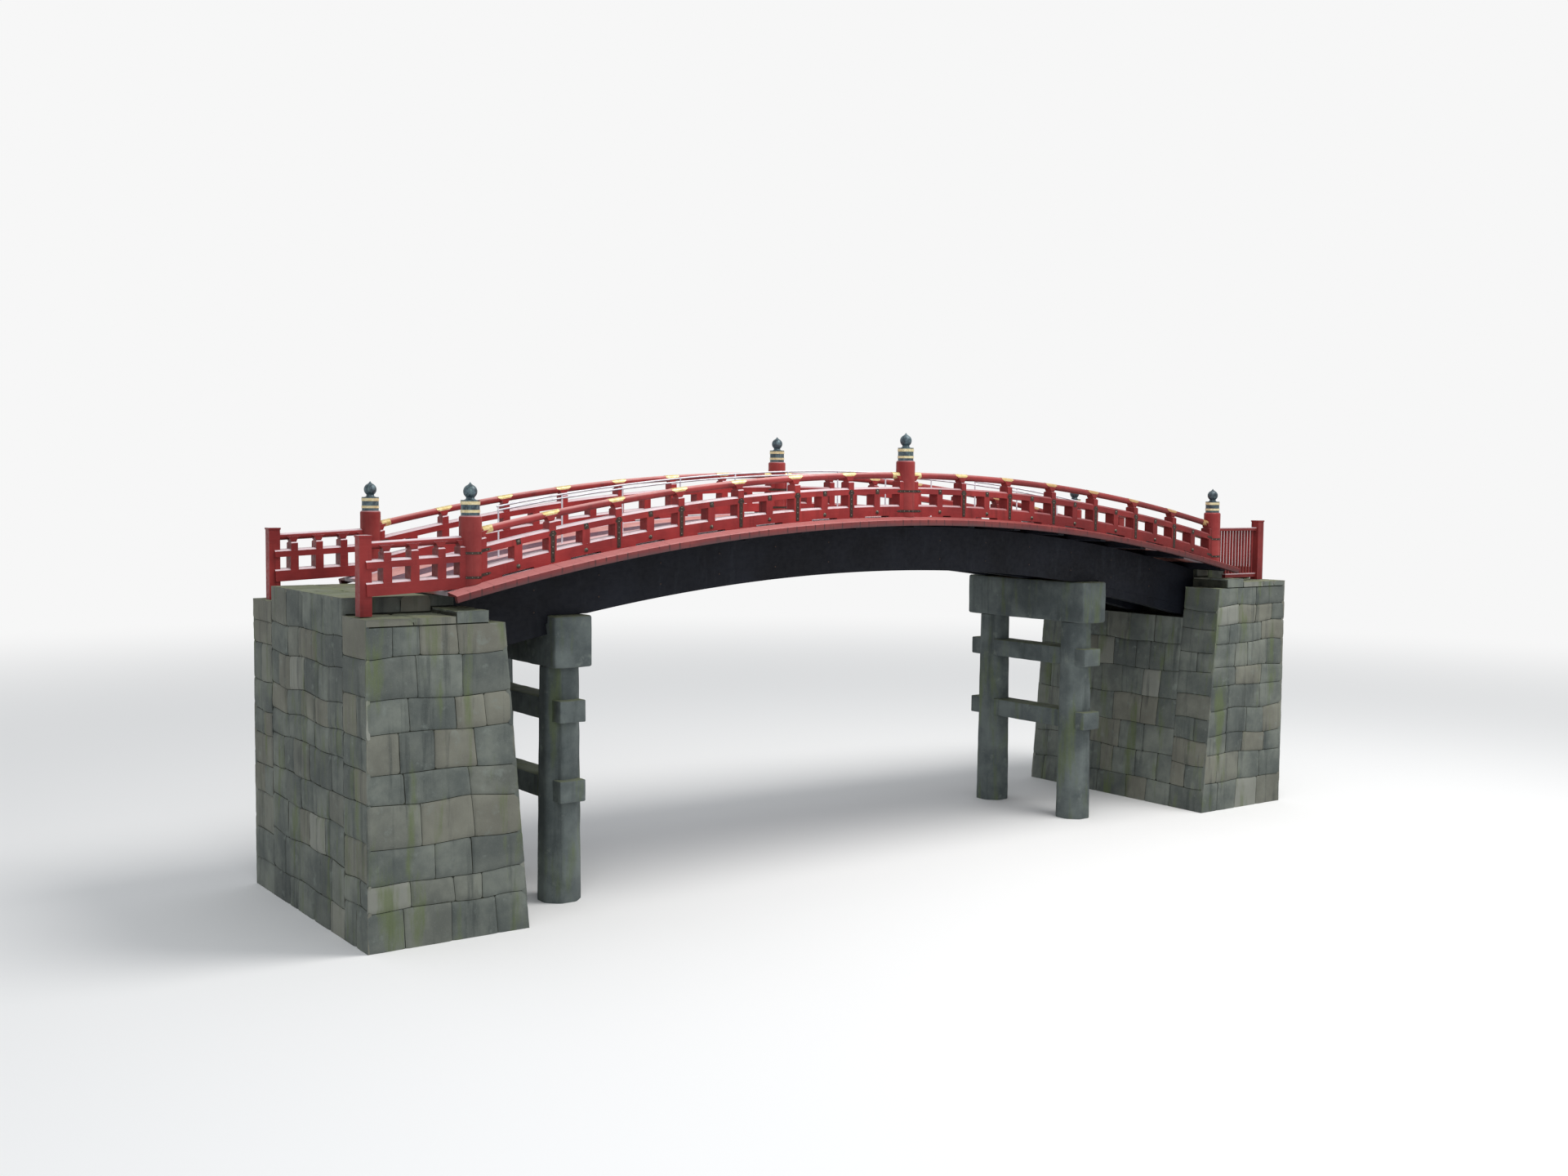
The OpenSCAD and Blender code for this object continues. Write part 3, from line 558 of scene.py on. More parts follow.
def piece(name, bm, material, smooth=False, replaces=()):
    """Makes an object of a bmesh, dresses it and lets it ride on the bridge."""
    bmesh.ops.recalc_face_normals(bm, faces=bm.faces)
    mesh = bpy.data.meshes.new(name)
    bm.to_mesh(mesh)
    bm.free()
    for polygon in mesh.polygons:
        polygon.use_smooth = smooth
    if smooth:
        mesh.set_sharp_from_angle(angle=math.radians(50))
    mesh.materials.append(material)
    obj = bpy.data.objects.new(name, mesh)
    bpy.context.scene.collection.objects.link(obj)
    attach(obj, "root")
    if replaces:
        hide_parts(*replaces)
    return obj


def add_box(bm, low, high, matrix, bevel):
    """A box between two corners, with its edges bevelled, moved by a matrix."""
    made = bmesh.ops.create_cube(bm, size=1.0)["verts"]
    low, high = Vector(low), Vector(high)
    for v in made:
        v.co = Vector((low[i] + (high[i] - low[i]) * (v.co[i] + 0.5) for i in range(3)))
    edges = dict.fromkeys(e for v in made for e in v.link_edges)
    made = bmesh.ops.bevel(
        bm, geom=list(edges), offset=bevel, segments=1, affect="EDGES", profile=0.5
    )["verts"]
    bmesh.ops.transform(bm, matrix=matrix, verts=list(made))


def arc_matrix(x, drop):
    """Frame on the arch at x: its own x axis runs along the slope."""
    turn = Matrix.Rotation(slope(x, drop), 4, "Y")
    return Matrix.Translation((x, 0.0, arc_z(x, drop))) @ turn


def join_rings(bm, rings):
    """Faces between rings that have the same number of points."""
    n = len(rings[0])
    for ring, after in zip(rings, rings[1:]):
        for k in range(n):
            j = (k + 1) % n
            bm.faces.new((ring[k], ring[j], after[j], after[k]))


def closed_rings(bm, rings):
    """Faces between rings, with the first and the last ring closed."""
    join_rings(bm, rings)
    bm.faces.new(rings[0][::-1])
    bm.faces.new(rings[-1])


# Deck

EDGE_CORNER = 0.012
BOARD_IN = 0.0005
BOARD_SINK = 0.002


def plank_angles():
    """Slope angles of the joints between planks, from one end of the deck to the other."""
    step = PLANK / (R - DECK_DROP)
    end = slope(DECK_END, DECK_DROP)
    count = int(end / step)
    inner = [i * step for i in range(-count, count + 1)]
    return [-end] + inner[1:-1] + [end]


def plank_run(profile_of, name, material, node, seed):
    """Planks side by side along the arch, each sunk a little by chance."""
    rnd = random.Random(seed)
    bm = bmesh.new()
    gap = PLANK_GAP / 2 / R
    angles = plank_angles()
    for i, (a0, a1) in enumerate(zip(angles, angles[1:])):
        start = a0 + (gap if i else 0)
        stop = a1 - (gap if i < len(angles) - 2 else 0)
        profile = profile_of(rnd.uniform(0, BOARD_SINK))
        closed_rings(
            bm, [[bm.verts.new(on_arc(a, d, y)) for d, y in profile] for a in (start, stop)]
        )
    return piece(name, bm, material, replaces=(node,))


def deck_profile(sink):
    """The section of a plank between the outer faces of the rails, as (drop, y) points."""
    return [
        (DECK_DROP + BOARD_IN + sink, -RAIL_OUT),
        (DECK_DROP + BOARD_IN + sink, RAIL_OUT),
        (DECK_DROP + DECK_T, RAIL_OUT),
        (DECK_DROP + DECK_T, -RAIL_OUT),
    ]


def edge_profile(side):
    """The plank ends outside the railing: a sloping ledge and a deep nosing."""

    def profile(sink):
        y0 = RAIL_OUT + 0.0006
        c = EDGE_CORNER
        top = DECK_DROP + LEDGE_FALL
        points = [
            (DECK_DROP + BOARD_IN + sink, y0),
            (top + sink - c * 0.3, LEDGE_OUT - c - sink),
            (top + sink + c, LEDGE_OUT - sink),
            (top + EDGE_H - c, LEDGE_OUT - sink),
            (top + EDGE_H, LEDGE_OUT - c - sink),
            (top + EDGE_H, LEDGE_OUT - EDGE_T),
            (DECK_DROP + DECK_T, LEDGE_OUT - EDGE_T),
            (DECK_DROP + DECK_T, y0),
        ]
        return [(d, side * y) for d, y in points]

    return profile


plank_run(deck_profile, "deck_planks", DECK_RED, "deck", 3)
plank_run(edge_profile(-1), "plank_ends_near", LEDGE_RED, "deck_edge_near", 4)
plank_run(edge_profile(1), "plank_ends_far", LEDGE_RED, "deck_edge_far", 5)


# Metal details

STUD_R = 0.057
STUD_RISE = 0.042
SMALL_STUD_R = 0.042
SMALL_STUD_RISE = 0.028
STUD_PLATE_W = 0.13
STUD_PLATE_H = 0.15
STUD_PLATE_T = 0.005
NAIL_R = 0.015
NAIL_RISE = 0.008
NAIL_OUT = 0.0008
NAIL_DROPS = (0.53, 0.605, 0.76, 0.9, 1.05, 1.22)
BAND_NAIL_DEGREES = (-44, -15, 15, 44)
BAND_NAIL_REACH = (-0.43, -0.35, 0.35, 0.43)
BAND_DROPS = (MID_DROP + (MID_H + MID_BEVEL) / 2, LOW_DROP + LOW_H / 2 + 0.01)
STUD_DROP = LOW_DROP + LOW_H * 0.58
BOLT_R = 0.024
BOLT_RISE = 0.014
BOLT_DROPS = (GIRDER_TOP + 0.42, UNDER_DROP - 0.36)
DOME = [(1.0, 0.0), (1.0, 0.14), (0.86, 0.2), (0.72, 0.58), (0.48, 0.86), (0.2, 0.98)]


def add_stud(bm, centre, axis, radius=STUD_R, rise=STUD_RISE, around=16):
    """A domed head with a thin collar, standing out along an axis."""
    across = axis.cross(Vector((0, 0, 1))).normalized()
    upward = across.cross(axis)
    rings = []
    for r, h in DOME:
        ring = []
        for k in range(around):
            a = 2 * math.pi * k / around
            turned = across * math.cos(a) + upward * math.sin(a)
            ring.append(bm.verts.new(centre + turned * (r * radius) + axis * (h * rise)))
        rings.append(ring)
    join_rings(bm, rings)
    tip = bm.verts.new(centre + axis * rise)
    for k in range(around):
        bm.faces.new((rings[-1][k], rings[-1][(k + 1) % around], tip))
    bm.faces.new(rings[0])


def rail_studs():
    """Big studs on the bottom rail and small ones on square plates on the mid rail."""
    studs, plates = bmesh.new(), bmesh.new()
    w, h, t = STUD_PLATE_W / 2, STUD_PLATE_H / 2, STUD_PLATE_T
    for side in (-1, 1):
        axis = Vector((0, side, 0))
        y = side * RAIL_OUT
        for x in BLOCKS:
            add_stud(studs, Vector((x, y, arc_z(x, STUD_DROP))), axis)
            drop = BAND_DROPS[0]
            y0, y1 = sorted((y, y + side * t))
            add_box(plates, (-w, y0, -h), (w, y1, h), arc_matrix(x, drop), 0.001)
            at = Vector((x, y + side * t * 0.9, arc_z(x, drop)))
            add_stud(studs, at, axis, SMALL_STUD_R, SMALL_STUD_RISE)
    piece("rail_studs", studs, STUD, smooth=True)
    piece("stud_plates", plates, IRON)


def strap_nails():
    """Nail heads on the straps of the balusters and on the bands of the main posts."""
    bm = bmesh.new()
    for side in (-1, 1):
        axis = Vector((0, side, 0))
        y = side * (RAIL_OUT + STRAP_T + NAIL_OUT)
        for x in BALUSTERS:
            for drop in NAIL_DROPS:
                add_stud(bm, Vector((x, y, arc_z(x, drop))), axis, NAIL_R, NAIL_RISE, 8)
        for x in POSTS:
            for drop in BAND_DROPS:
                z = arc_z(x, drop)
                for degrees in BAND_NAIL_DEGREES:
                    a = math.radians(degrees)
                    out = Vector((math.sin(a), side * math.cos(a), 0))
                    at = Vector((x, side * LINE_Y, z)) + out * (POST_D / 2 + STRAP_T)
                    add_stud(bm, at, out, NAIL_R, NAIL_RISE, 8)
                for reach in BAND_NAIL_REACH:
                    if abs(x + reach) < HALF:
                        at = Vector((x + reach, y, arc_z(x + reach, drop)))
                        add_stud(bm, at, axis, NAIL_R * 0.8, NAIL_RISE, 8)
    piece("strap_nails", bm, NAIL, smooth=True)


def girder_bolts():
    """Bolt heads on the outer faces of the girders, in two rows."""
    bm = bmesh.new()
    for side in (-1, 1):
        axis = Vector((0, side, 0))
        for x in BALUSTERS:
            for drop in BOLT_DROPS:
                at = Vector((x, side * GIRDER_OUT, arc_z(x, drop)))
                add_stud(bm, at, axis, BOLT_R, BOLT_RISE, 8)
    piece("girder_bolts", bm, IRON, smooth=True)


rail_studs()
strap_nails()
girder_bolts()

PLATE_R = RAIL_D / 2
PLATE_T = 0.006
PLATE_HALF = 0.26
SLEEVE_IN = POST_D / 2 + 0.0015
SLEEVE_HALF = 0.138
PLATE_TURN = math.radians(93)
SLEEVE_TURN = math.radians(178)


def wrap_plate(bm, x, y, half, start, straight=0, around=28, along=12):
    """A thin sheet wrapped over the round rail, longer on top and cut in waves at its ends.

    straight is -1 or 1 where that end stands square against a post.
    """
    centre = slope(x)
    outer, inner = [], []
    for i in range(along + 1):
        t = -1 + 2 * i / along
        row_out, row_in = [], []
        for k in range(around + 1):
            phi = -start + 2 * start * k / around
            lean = abs(phi) / start
            reach = half * (1 - 0.34 * lean**2 + 0.07 * math.cos(3 * math.pi * lean))
            a = centre + t * reach / R
            if straight:
                share = (1 - straight * t) / 2
                a = centre + (straight * half - straight * share * (half + reach)) / R
            for r, row in ((PLATE_R + PLATE_T, row_out), (PLATE_R + 0.0004, row_in)):
                at = on_arc(a, PLATE_R - r * math.cos(phi), y + r * math.sin(phi))
                row.append(bm.verts.new(at))
        outer.append(row_out)
        inner.append(row_in)
    for grid, flip in ((outer, False), (inner, True)):
        for i in range(along):
            for k in range(around):
                quad = (grid[i][k], grid[i][k + 1], grid[i + 1][k + 1], grid[i + 1][k])
                bm.faces.new(quad[::-1] if flip else quad)
    for i in range(along):
        bm.faces.new((outer[i][0], outer[i + 1][0], inner[i + 1][0], inner[i][0]))
        bm.faces.new(
            (outer[i][around], inner[i][around], inner[i + 1][around], outer[i + 1][around])
        )
    for k in range(around):
        bm.faces.new((outer[0][k], inner[0][k], inner[0][k + 1], outer[0][k + 1]))
        bm.faces.new(
            (outer[along][k], outer[along][k + 1], inner[along][k + 1], inner[along][k])
        )


def plates_and_sleeves():
    """Gilt plates over the balusters and full sleeves beside the main posts."""
    bm = bmesh.new()
    for y in (-LINE_Y, LINE_Y):
        for x in BALUSTERS:
            wrap_plate(bm, x, y, PLATE_HALF, PLATE_TURN)
    piece("rail_wraps", bm, GILT, smooth=True, replaces=("rail_plates",))
    bm = bmesh.new()
    for y in (-LINE_Y, LINE_Y):
        for x in POSTS:
            for side in (-1, 1):
                if abs(x + side) < HALF:
                    middle = x + side * (SLEEVE_IN + SLEEVE_HALF)
                    wrap_plate(bm, middle, y, SLEEVE_HALF, SLEEVE_TURN, -side, 40)
    piece("rail_end_sleeves", bm, GILT, smooth=True)


plates_and_sleeves()


# Stonework


COLUMN_Y = 1.98
COLUMN_FOOT = 1.13
COLUMN_TOP = 1.01
COLUMN_SIDES = 8
POINTS_A_SIDE = 5
LEVEL_H = 0.2
COLUMN_ROUGH = 0.012
# How far an arris stands out, as a share of half the width between two faces
ARRIS = 1.062
TIE_H = 0.61
# The share of its roughness by which a stone really moves, so it stays inside its solid
STAY_IN = 0.9


def rounded_grid(length, cell, radius):
    """Places along one side of a stone: close together at both ends, even between."""
    count = max(2, round((length - 2 * radius) / cell))
    inner = [radius + (length - 2 * radius) * i / count for i in range(count + 1)]
    return [0.0, radius * 0.35] + inner + [length - radius * 0.35, length]


def rough(point, amount, scale, seed):
    """A small move of a stone's surface, the same for the same point."""
    p = point * scale + Vector((seed * 7.3, seed * 3.1, seed * 5.7))
    return noise.noise_vector(p) * amount


def clamped(p, low, high, inset):
    """The place nearest to p in a box that is smaller by an inset on every side."""
    return Vector((min(max(p[n], low[n] + inset), high[n] - inset) for n in range(3)))


def rough_box(bm, low, high, radius, cell, amount, seed):
    """A stone beam: a box with rounded edges and an uneven surface that stays inside it."""
    low, high = Vector(low), Vector(high)
    grids = [rounded_grid(high[i] - low[i], cell, radius) for i in range(3)]
    made = {}

    def vertex(index):
        if index not in made:
            p = Vector((low[n] + grids[n][index[n]] for n in range(3)))
            p = clamped(p, low, high, amount)
            centre = clamped(p, low, high, amount + radius)
            if (p - centre).length > 1e-6:
                p = centre + (p - centre).normalized() * radius
            made[index] = bm.verts.new(p + rough(p, amount, 2.2, seed) * STAY_IN)
        return made[index]

    counts = [len(grid) - 1 for grid in grids]
    for axis in range(3):
        u, v = (axis + 1) % 3, (axis + 2) % 3
        for end in (0, counts[axis]):
            for a in range(counts[u]):
                for b in range(counts[v]):
                    corners = []
                    for da, db in ((0, 0), (1, 0), (1, 1), (0, 1)):
                        index = [0, 0, 0]
                        index[axis], index[u], index[v] = end, a + da, b + db
                        corners.append(vertex(tuple(index)))
                    bm.faces.new(corners)


def rough_column(bm, x, y, height, seed):
    """A tapering eight-sided stone column with rounded arrises."""
    levels = max(4, round(height / LEVEL_H))
    side = 2 * math.pi / COLUMN_SIDES
    points = COLUMN_SIDES * POINTS_A_SIDE
    rings = []
    for i in range(levels + 1):
        t = i / levels
        half = (COLUMN_FOOT + (COLUMN_TOP - COLUMN_FOOT) * t) / 2 - COLUMN_ROUGH
        ring = []
        for k in range(points):
            a = 2 * math.pi * k / points
            off = (a + side / 2) % side - side / 2
            r = min(half / math.cos(off), half * ARRIS)
            p = Vector((x + r * math.cos(a), y + r * math.sin(a), height * t))
            move = rough(p, COLUMN_ROUGH, 1.9, seed)
            move.z = 0
            ring.append(bm.verts.new(p + move * STAY_IN))
        rings.append(ring)
    closed_rings(bm, rings)


def stone_pier(side_name, seed):
    """The worn stones of a pier: its cap beam, its two columns and its two ties."""
    low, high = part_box(side_name + "_pier_cap")
    bm = bmesh.new()
    rough_box(bm, low, high, radius=0.07, cell=0.15, amount=0.016, seed=seed)
    piece(side_name + "_cap_stone", bm, PIER, True, (side_name + "_pier_cap",))
    middle = (low.x + high.x) / 2
    columns = side_name + "_pier_columns"
    bm = bmesh.new()
    for n, y in enumerate((-COLUMN_Y, COLUMN_Y)):
        rough_column(bm, middle, y, low.z, seed + n + 1)
    piece(side_name + "_column_stones", bm, PIER, True, (columns,))
    tie_low, tie_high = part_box(side_name + "_pier_ties")
    bm = bmesh.new()
    for z0 in (tie_low.z, tie_high.z - TIE_H):
        corners = (tie_low.x, tie_low.y, z0), (tie_high.x, tie_high.y, z0 + TIE_H)
        rough_box(bm, *corners, radius=0.04, cell=0.16, amount=0.012, seed=seed + 3)
    piece(side_name + "_tie_stones", bm, PIER, True, (side_name + "_pier_ties",))


stone_pier("left", 11)
stone_pier("right", 23)

ABUT_X = 13.45
ABUT_BATTER = 0.65
ABUT_END = 17.05
ABUT_HALF = 4.15
FLANK_Y = GIRDER_OUT + 0.2
FLANK_Z = [END_RAIL_Z - 2.25, END_RAIL_Z - 1.93, END_RAIL_Z - 2.05]
CLEAR = 0.001
CORE_Z = arc_z(DECK_END, DECK_DROP + DECK_T) - CLEAR
SEAT_Z = arc_z(HALF - 0.06, UNDER_DROP + TAIL_H) - CLEAR
SEAT_X = HALF + 0.125
STEP_X = (HALF - 0.11, HALF + 0.75)
WALL_INSET = 0.07
CORNER_IN = 0.016
STONE_CELLS = (5, 4)
STONE_RIMS = (0.03, 0.085)
STONE_ROUND = 0.1
STONE_DEPTH = 0.12
STONE_GAP = 0.014
STONE_W = (0.85, 1.2)
STONE_SHARE = (0.6, 1.45)
RIM_FALL = 0.034
RIM_W = 0.045
RIM_POWER = 1.3
CORNER_FALL = 0.7
FACE_PROUD = 0.018
FACE_BACK = 0.008
FACE_BACK_MIN = 0.002
FACE_WAVE = 0.014
DEEP_IN = 0.03
# A distance past any stone, for a side at a corner of the wall, which has no rim
NO_RIM = 9.0
COURSE_H = (0.64, 1.04)
COURSES_END = 1.4
COURSE_MAX = 1.1
COURSE_WAVE = 0.1
WAVE_END = 0.5
JOINT_LEAN = 0.05


def batter_x(z):
    """Where the leaning face to the river stands at a height."""
    return ABUT_X - ABUT_BATTER * (1 - z / FLANK_Z[0])


def on_floor(p):
    """The same point, but not under the floor."""
    return Vector((p.x, p.y, max(p.z, 0.0)))


def stone_patch(bm, at, normal, seed, edges):
    """One cut stone: a bulging face, its sides running back into the wall.

    at(s, t) gives the place of a share of the width and height of its face. edges holds 1 for
    each side (low v, high u, high v, low u) that is a corner of the wall.
    """
    width = ((at(1, 0) - at(0, 0)).length + (at(1, 1) - at(0, 1)).length) / 2
    height = ((at(0, 1) - at(0, 0)).length + (at(1, 1) - at(1, 0)).length) / 2
    along = (at(1, 0.5) - at(0, 0.5)).normalized()
    upward = (at(0.5, 1) - at(0.5, 0)).normalized()

    def shares(length, count):
        rims = [rim / length for rim in STONE_RIMS]
        inner = [i / count for i in range(1, count) if rims[-1] < i / count < 1 - rims[-1]]
        return [0, *rims, *inner, *(1 - rim for rim in reversed(rims)), 1]

    us, vs = shares(width, STONE_CELLS[0]), shares(height, STONE_CELLS[1])
    proud = random.Random(seed).uniform(0.0, FACE_PROUD)
    offset = Vector((seed % 97, 0, 0))

    def depth(u, v, p):
        """How far the face stands back: a worn rim, rounded corners and a few waves."""
        sides = ((1 - u) * width, edges[1]), (u * width, edges[3])
        across = min(NO_RIM if corner else off for off, corner in sides)
        sides = (v * height, edges[0]), ((1 - v) * height, edges[2])
        upright = min(NO_RIM if corner else off for off, corner in sides)
        inside = STONE_ROUND - math.hypot(
            max(STONE_ROUND - across, 0), max(STONE_ROUND - upright, 0)
        )
        rim = RIM_FALL * math.exp(-((max(inside, 0) / RIM_W) ** RIM_POWER))
        corner = CORNER_FALL * max(-inside, 0)
        wave = FACE_WAVE * noise.noise(p * 3.1 + offset)
        return max(FACE_BACK + proud + rim + corner + wave, FACE_BACK_MIN)

    grid, top = [], []
    for v in vs:
        row = []
        for u in us:
            p = at(u, v)
            back = depth(u, v, p)
            if edges[0] and v == 0 and p.z > 0.01:
                p = p + upward * CORNER_IN
            if edges[2] and v == 1:
                p = p - upward * CORNER_IN
            if edges[1] and u == 1:
                p = p - along * CORNER_IN
            if edges[3] and u == 0:
                p = p + along * CORNER_IN
            row.append((p, back))
        grid.append([p for p, _ in row])
        top.append([bm.verts.new(on_floor(p - normal * back)) for p, back in row])
    rows, columns = len(vs), len(us)
    for i in range(rows - 1):
        for j in range(columns - 1):
            bm.faces.new((top[i][j], top[i][j + 1], top[i + 1][j + 1], top[i + 1][j]))
    rim = (
        [(0, j) for j in range(columns)]
        + [(i, columns - 1) for i in range(1, rows)]
        + [(rows - 1, j) for j in range(columns - 2, -1, -1)]
        + [(i, 0) for i in range(rows - 2, 0, -1)]
    )
    deep = []
    middle = at(0.5, 0.5)
    for i, j in rim:
        p = grid[i][j]
        inward = (middle - p).normalized() * DEEP_IN
        deep.append(bm.verts.new(on_floor(p + inward - normal * STONE_DEPTH)))
    front = [top[i][j] for i, j in rim]
    # The order of these corners sets the order of the edges, and that each stone's tone
    for k in range(len(rim)):
        j = (k + 1) % len(rim)
        bm.faces.new((front[k], deep[k], deep[j], front[j]))
    bm.faces.new(deep)


def course_heights(low, high, rnd):
    """Heights of the joints between courses of stone."""
    heights = [low]
    while heights[-1] < high - COURSES_END:
        heights.append(heights[-1] + rnd.uniform(*COURSE_H))
    if high - heights[-1] > COURSE_MAX:
        heights.append((heights[-1] + high) / 2)
    heights.append(high)
    return heights


def side_at(side, v):
    """Where a side of a wall is at v: the side is one number or a function of v."""
    return side(v) if callable(side) else side


def stone_wall(bm, rnd, point, normal, left, right, low, high, ends=(1, 1)):
    """Courses of stone on a face, from low to high and from side to side.

    point(u, v) gives a place on the face, and ends holds 1 for each side, left and right,
    that is a corner of the wall.
    """
    heights = course_heights(low, high, rnd)
    drift = Vector((rnd.uniform(0, 50), rnd.uniform(0, 50), 0))

    def waved(share, v):
        """A place on the face with the courses bent a little, but not at its outline."""
        hold = min(1.0, (v - low) / WAVE_END, (high - v) / WAVE_END)
        u = side_at(left, v) + (side_at(right, v) - side_at(left, v)) * share
        wave = COURSE_WAVE * noise.noise(Vector((u * 0.75, v * 0.5, 0)) + drift)
        return point(u, v + wave * max(hold, 0.0))

    for n, (v0, v1) in enumerate(zip(heights, heights[1:])):
        first, last = n == 0, n == len(heights) - 2
        centre = (v0 + v1) / 2
        length = side_at(right, centre) - side_at(left, centre)
        count = max(1, round(length / rnd.uniform(*STONE_W)))
        parts = [rnd.uniform(*STONE_SHARE) for _ in range(count)]
        total = sum(parts)
        cuts = [0.0]
        for part in parts:
            cuts.append(cuts[-1] + part / total)
        leans = [rnd.uniform(-JOINT_LEAN, JOINT_LEAN) / length for _ in range(count - 1)]
        leans = [0.0, *leans, 0.0]
        start = v0 + (0 if first else STONE_GAP / 2)
        stop = v1 - (0 if last else STONE_GAP / 2)
        for i in range(count):
            ga = 0 if i == 0 else STONE_GAP / 2 / length
            gb = 0 if i == count - 1 else STONE_GAP / 2 / length

            def at(s, t, i=i, ga=ga, gb=gb, start=start, stop=stop):
                a = cuts[i] + leans[i] * (t - 0.5) + ga
                b = cuts[i + 1] + leans[i + 1] * (t - 0.5) - gb
                return waved(a + (b - a) * s, start + (stop - start) * t)

            edges = (first, i == count - 1 and ends[1], last, i == 0 and ends[0])
            stone_patch(bm, at, normal, rnd.randrange(10**6), edges)


def plane_x(x):
    """Places on an upright face across the bridge."""
    return lambda u, v: Vector((x, u, v))


def plane_y(y):
    """Places on an upright face along the bridge."""
    return lambda u, v: Vector((u, y, v))


def plane_z(z):
    """Places on a level face."""
    return lambda u, v: Vector((u, v, z))


def slab(bm, outline, y0, y1):
    """A closed prism across the bridge from an outline of (x, z) points."""
    closed_rings(bm, [[bm.verts.new((x, y, z)) for x, z in outline] for y in (y0, y1)])


def abutment_core():
    """The mass behind the stones of the right abutment, which shows in their joints."""
    w = WALL_INSET
    low_z, high_z, back_z = (z - w for z in FLANK_Z)
    back_x = ABUT_END - w
    x0, x1 = SEAT_X + CLEAR, back_x - CLEAR
    flank = [
        (batter_x(0) + w, 0.0),
        (back_x, 0.0),
        (back_x, back_z),
        (STEP_X[1], back_z),
        (STEP_X[1], high_z),
        (STEP_X[0], high_z),
        (STEP_X[0], low_z),
        (batter_x(low_z) + w, low_z),
    ]
    middle = [
        (batter_x(0) + w, 0.0),
        (back_x, 0.0),
        (back_x, low_z),
        (SEAT_X, low_z),
        (SEAT_X, SEAT_Z),
        (batter_x(SEAT_Z) + w, SEAT_Z),
    ]
    under_deck = [
        (x0, low_z - 0.05),
        (x1, low_z - 0.05),
        (x1, CORE_Z - w),
        (DECK_END, CORE_Z - w),
        (DECK_END, CORE_Z),
        (x0, arc_z(x0, DECK_DROP + DECK_T) - CLEAR),
    ]
    bm = bmesh.new()
    slab(bm, flank, -ABUT_HALF + w, -FLANK_Y)
    slab(bm, flank, FLANK_Y, ABUT_HALF - w)
    slab(bm, middle, -FLANK_Y, FLANK_Y)
    slab(bm, under_deck, -FLANK_Y + w, FLANK_Y - w)
    return bm


def abutment_stones(rnd):
    """Courses of stone on the faces of the right abutment."""
    bm = bmesh.new()
    up = Vector((0, 0, 1))
    lean = Vector((-FLANK_Z[0], 0, ABUT_BATTER)).normalized()

    def leaning(u, v):
        return Vector((batter_x(v), u, v))

    # The face to the river, in front of the seat and beside it
    for y0, y1, top, ends in (
        (-ABUT_HALF, -FLANK_Y, FLANK_Z[0], (1, 0)),
        (-FLANK_Y, FLANK_Y, SEAT_Z, (0, 0)),
        (FLANK_Y, ABUT_HALF, FLANK_Z[0], (0, 1)),
    ):
        stone_wall(bm, rnd, leaning, lean, y0, y1, 0.0, top, ends)
    for side in (-1, 1):
        out = Vector((0, side, 0))
        # A face along the bridge, with its steps
        for x0, x1, low, top in (
            (batter_x, ABUT_END, 0.0, FLANK_Z[0]),
            (STEP_X[0], STEP_X[1], FLANK_Z[0], FLANK_Z[1]),
            (STEP_X[1], ABUT_END, FLANK_Z[0], FLANK_Z[2]),
        ):
            stone_wall(bm, rnd, plane_y(side * ABUT_HALF), out, x0, x1, low, top)
        # The top of a flank
        y0, y1 = sorted((side * FLANK_Y, side * ABUT_HALF))
        for x0, x1, z in (
            (batter_x(FLANK_Z[0]), STEP_X[0], FLANK_Z[0]),
            (STEP_X[0], STEP_X[1], FLANK_Z[1]),
            (STEP_X[1], ABUT_END, FLANK_Z[2]),
        ):
            stone_wall(bm, rnd, plane_z(z), up, x0, x1, y0, y1)
        # A side of the middle block above the flank
        for x0, x1, low, ends in (
            (SEAT_X, STEP_X[1], FLANK_Z[1], (1, 0)),
            (STEP_X[1], ABUT_END, FLANK_Z[2], (0, 1)),
        ):
            stone_wall(bm, rnd, plane_y(side * FLANK_Y), out, x0, x1, low, CORE_Z, ends)
    # The top of the middle block behind the deck
    x0 = DECK_END + 0.002
    stone_wall(bm, rnd, plane_z(CORE_Z), up, x0, ABUT_END, -FLANK_Y, FLANK_Y, (0, 1))
    # The face away from the river
    out = Vector((1, 0, 0))
    for y0, y1, top in (
        (-ABUT_HALF, -FLANK_Y, FLANK_Z[2]),
        (-FLANK_Y, FLANK_Y, CORE_Z),
        (FLANK_Y, ABUT_HALF, FLANK_Z[2]),
    ):
        stone_wall(bm, rnd, plane_x(ABUT_END), out, y0, y1, 0.0, top)
    return bm


def abutment(name, mirror, seed):
    """A stone abutment. The left one is mirrored, with stones of its own."""
    core, stones = abutment_core(), abutment_stones(random.Random(seed))
    if mirror:
        for bm in (core, stones):
            bmesh.ops.scale(bm, vec=(-1, 1, 1), verts=bm.verts)
    piece(name + "_core", core, JOINT, replaces=(name,))
    piece(name + "_stones", stones, WALL, smooth=True)


abutment("left_abutment", True, 31)
abutment("right_abutment", False, 47)


# Stage, light and camera

IMAGE_W = 1920
CAMERA_AT = Vector((-30.822, -39.904, 11.166))
CAMERA_YAW = 0.6248
CAMERA_PITCH = -0.0643
CAMERA_ROLL = 0.0092
CAMERA_FOCUS = 1956.9
SENSOR = 36.0
FLOOR_GREY = 0.86
BACKGROUND = 0.93
FLOOR_R = 420.0
FLOOR_FADE = (25.0, 90.0)
SKY = (0.94, 0.97, 1.0)
SKY_STRENGTH = 0.62
WHITE = (1.0, 1.0, 1.0)
BRIDGE_AT = (0, 0, 8)


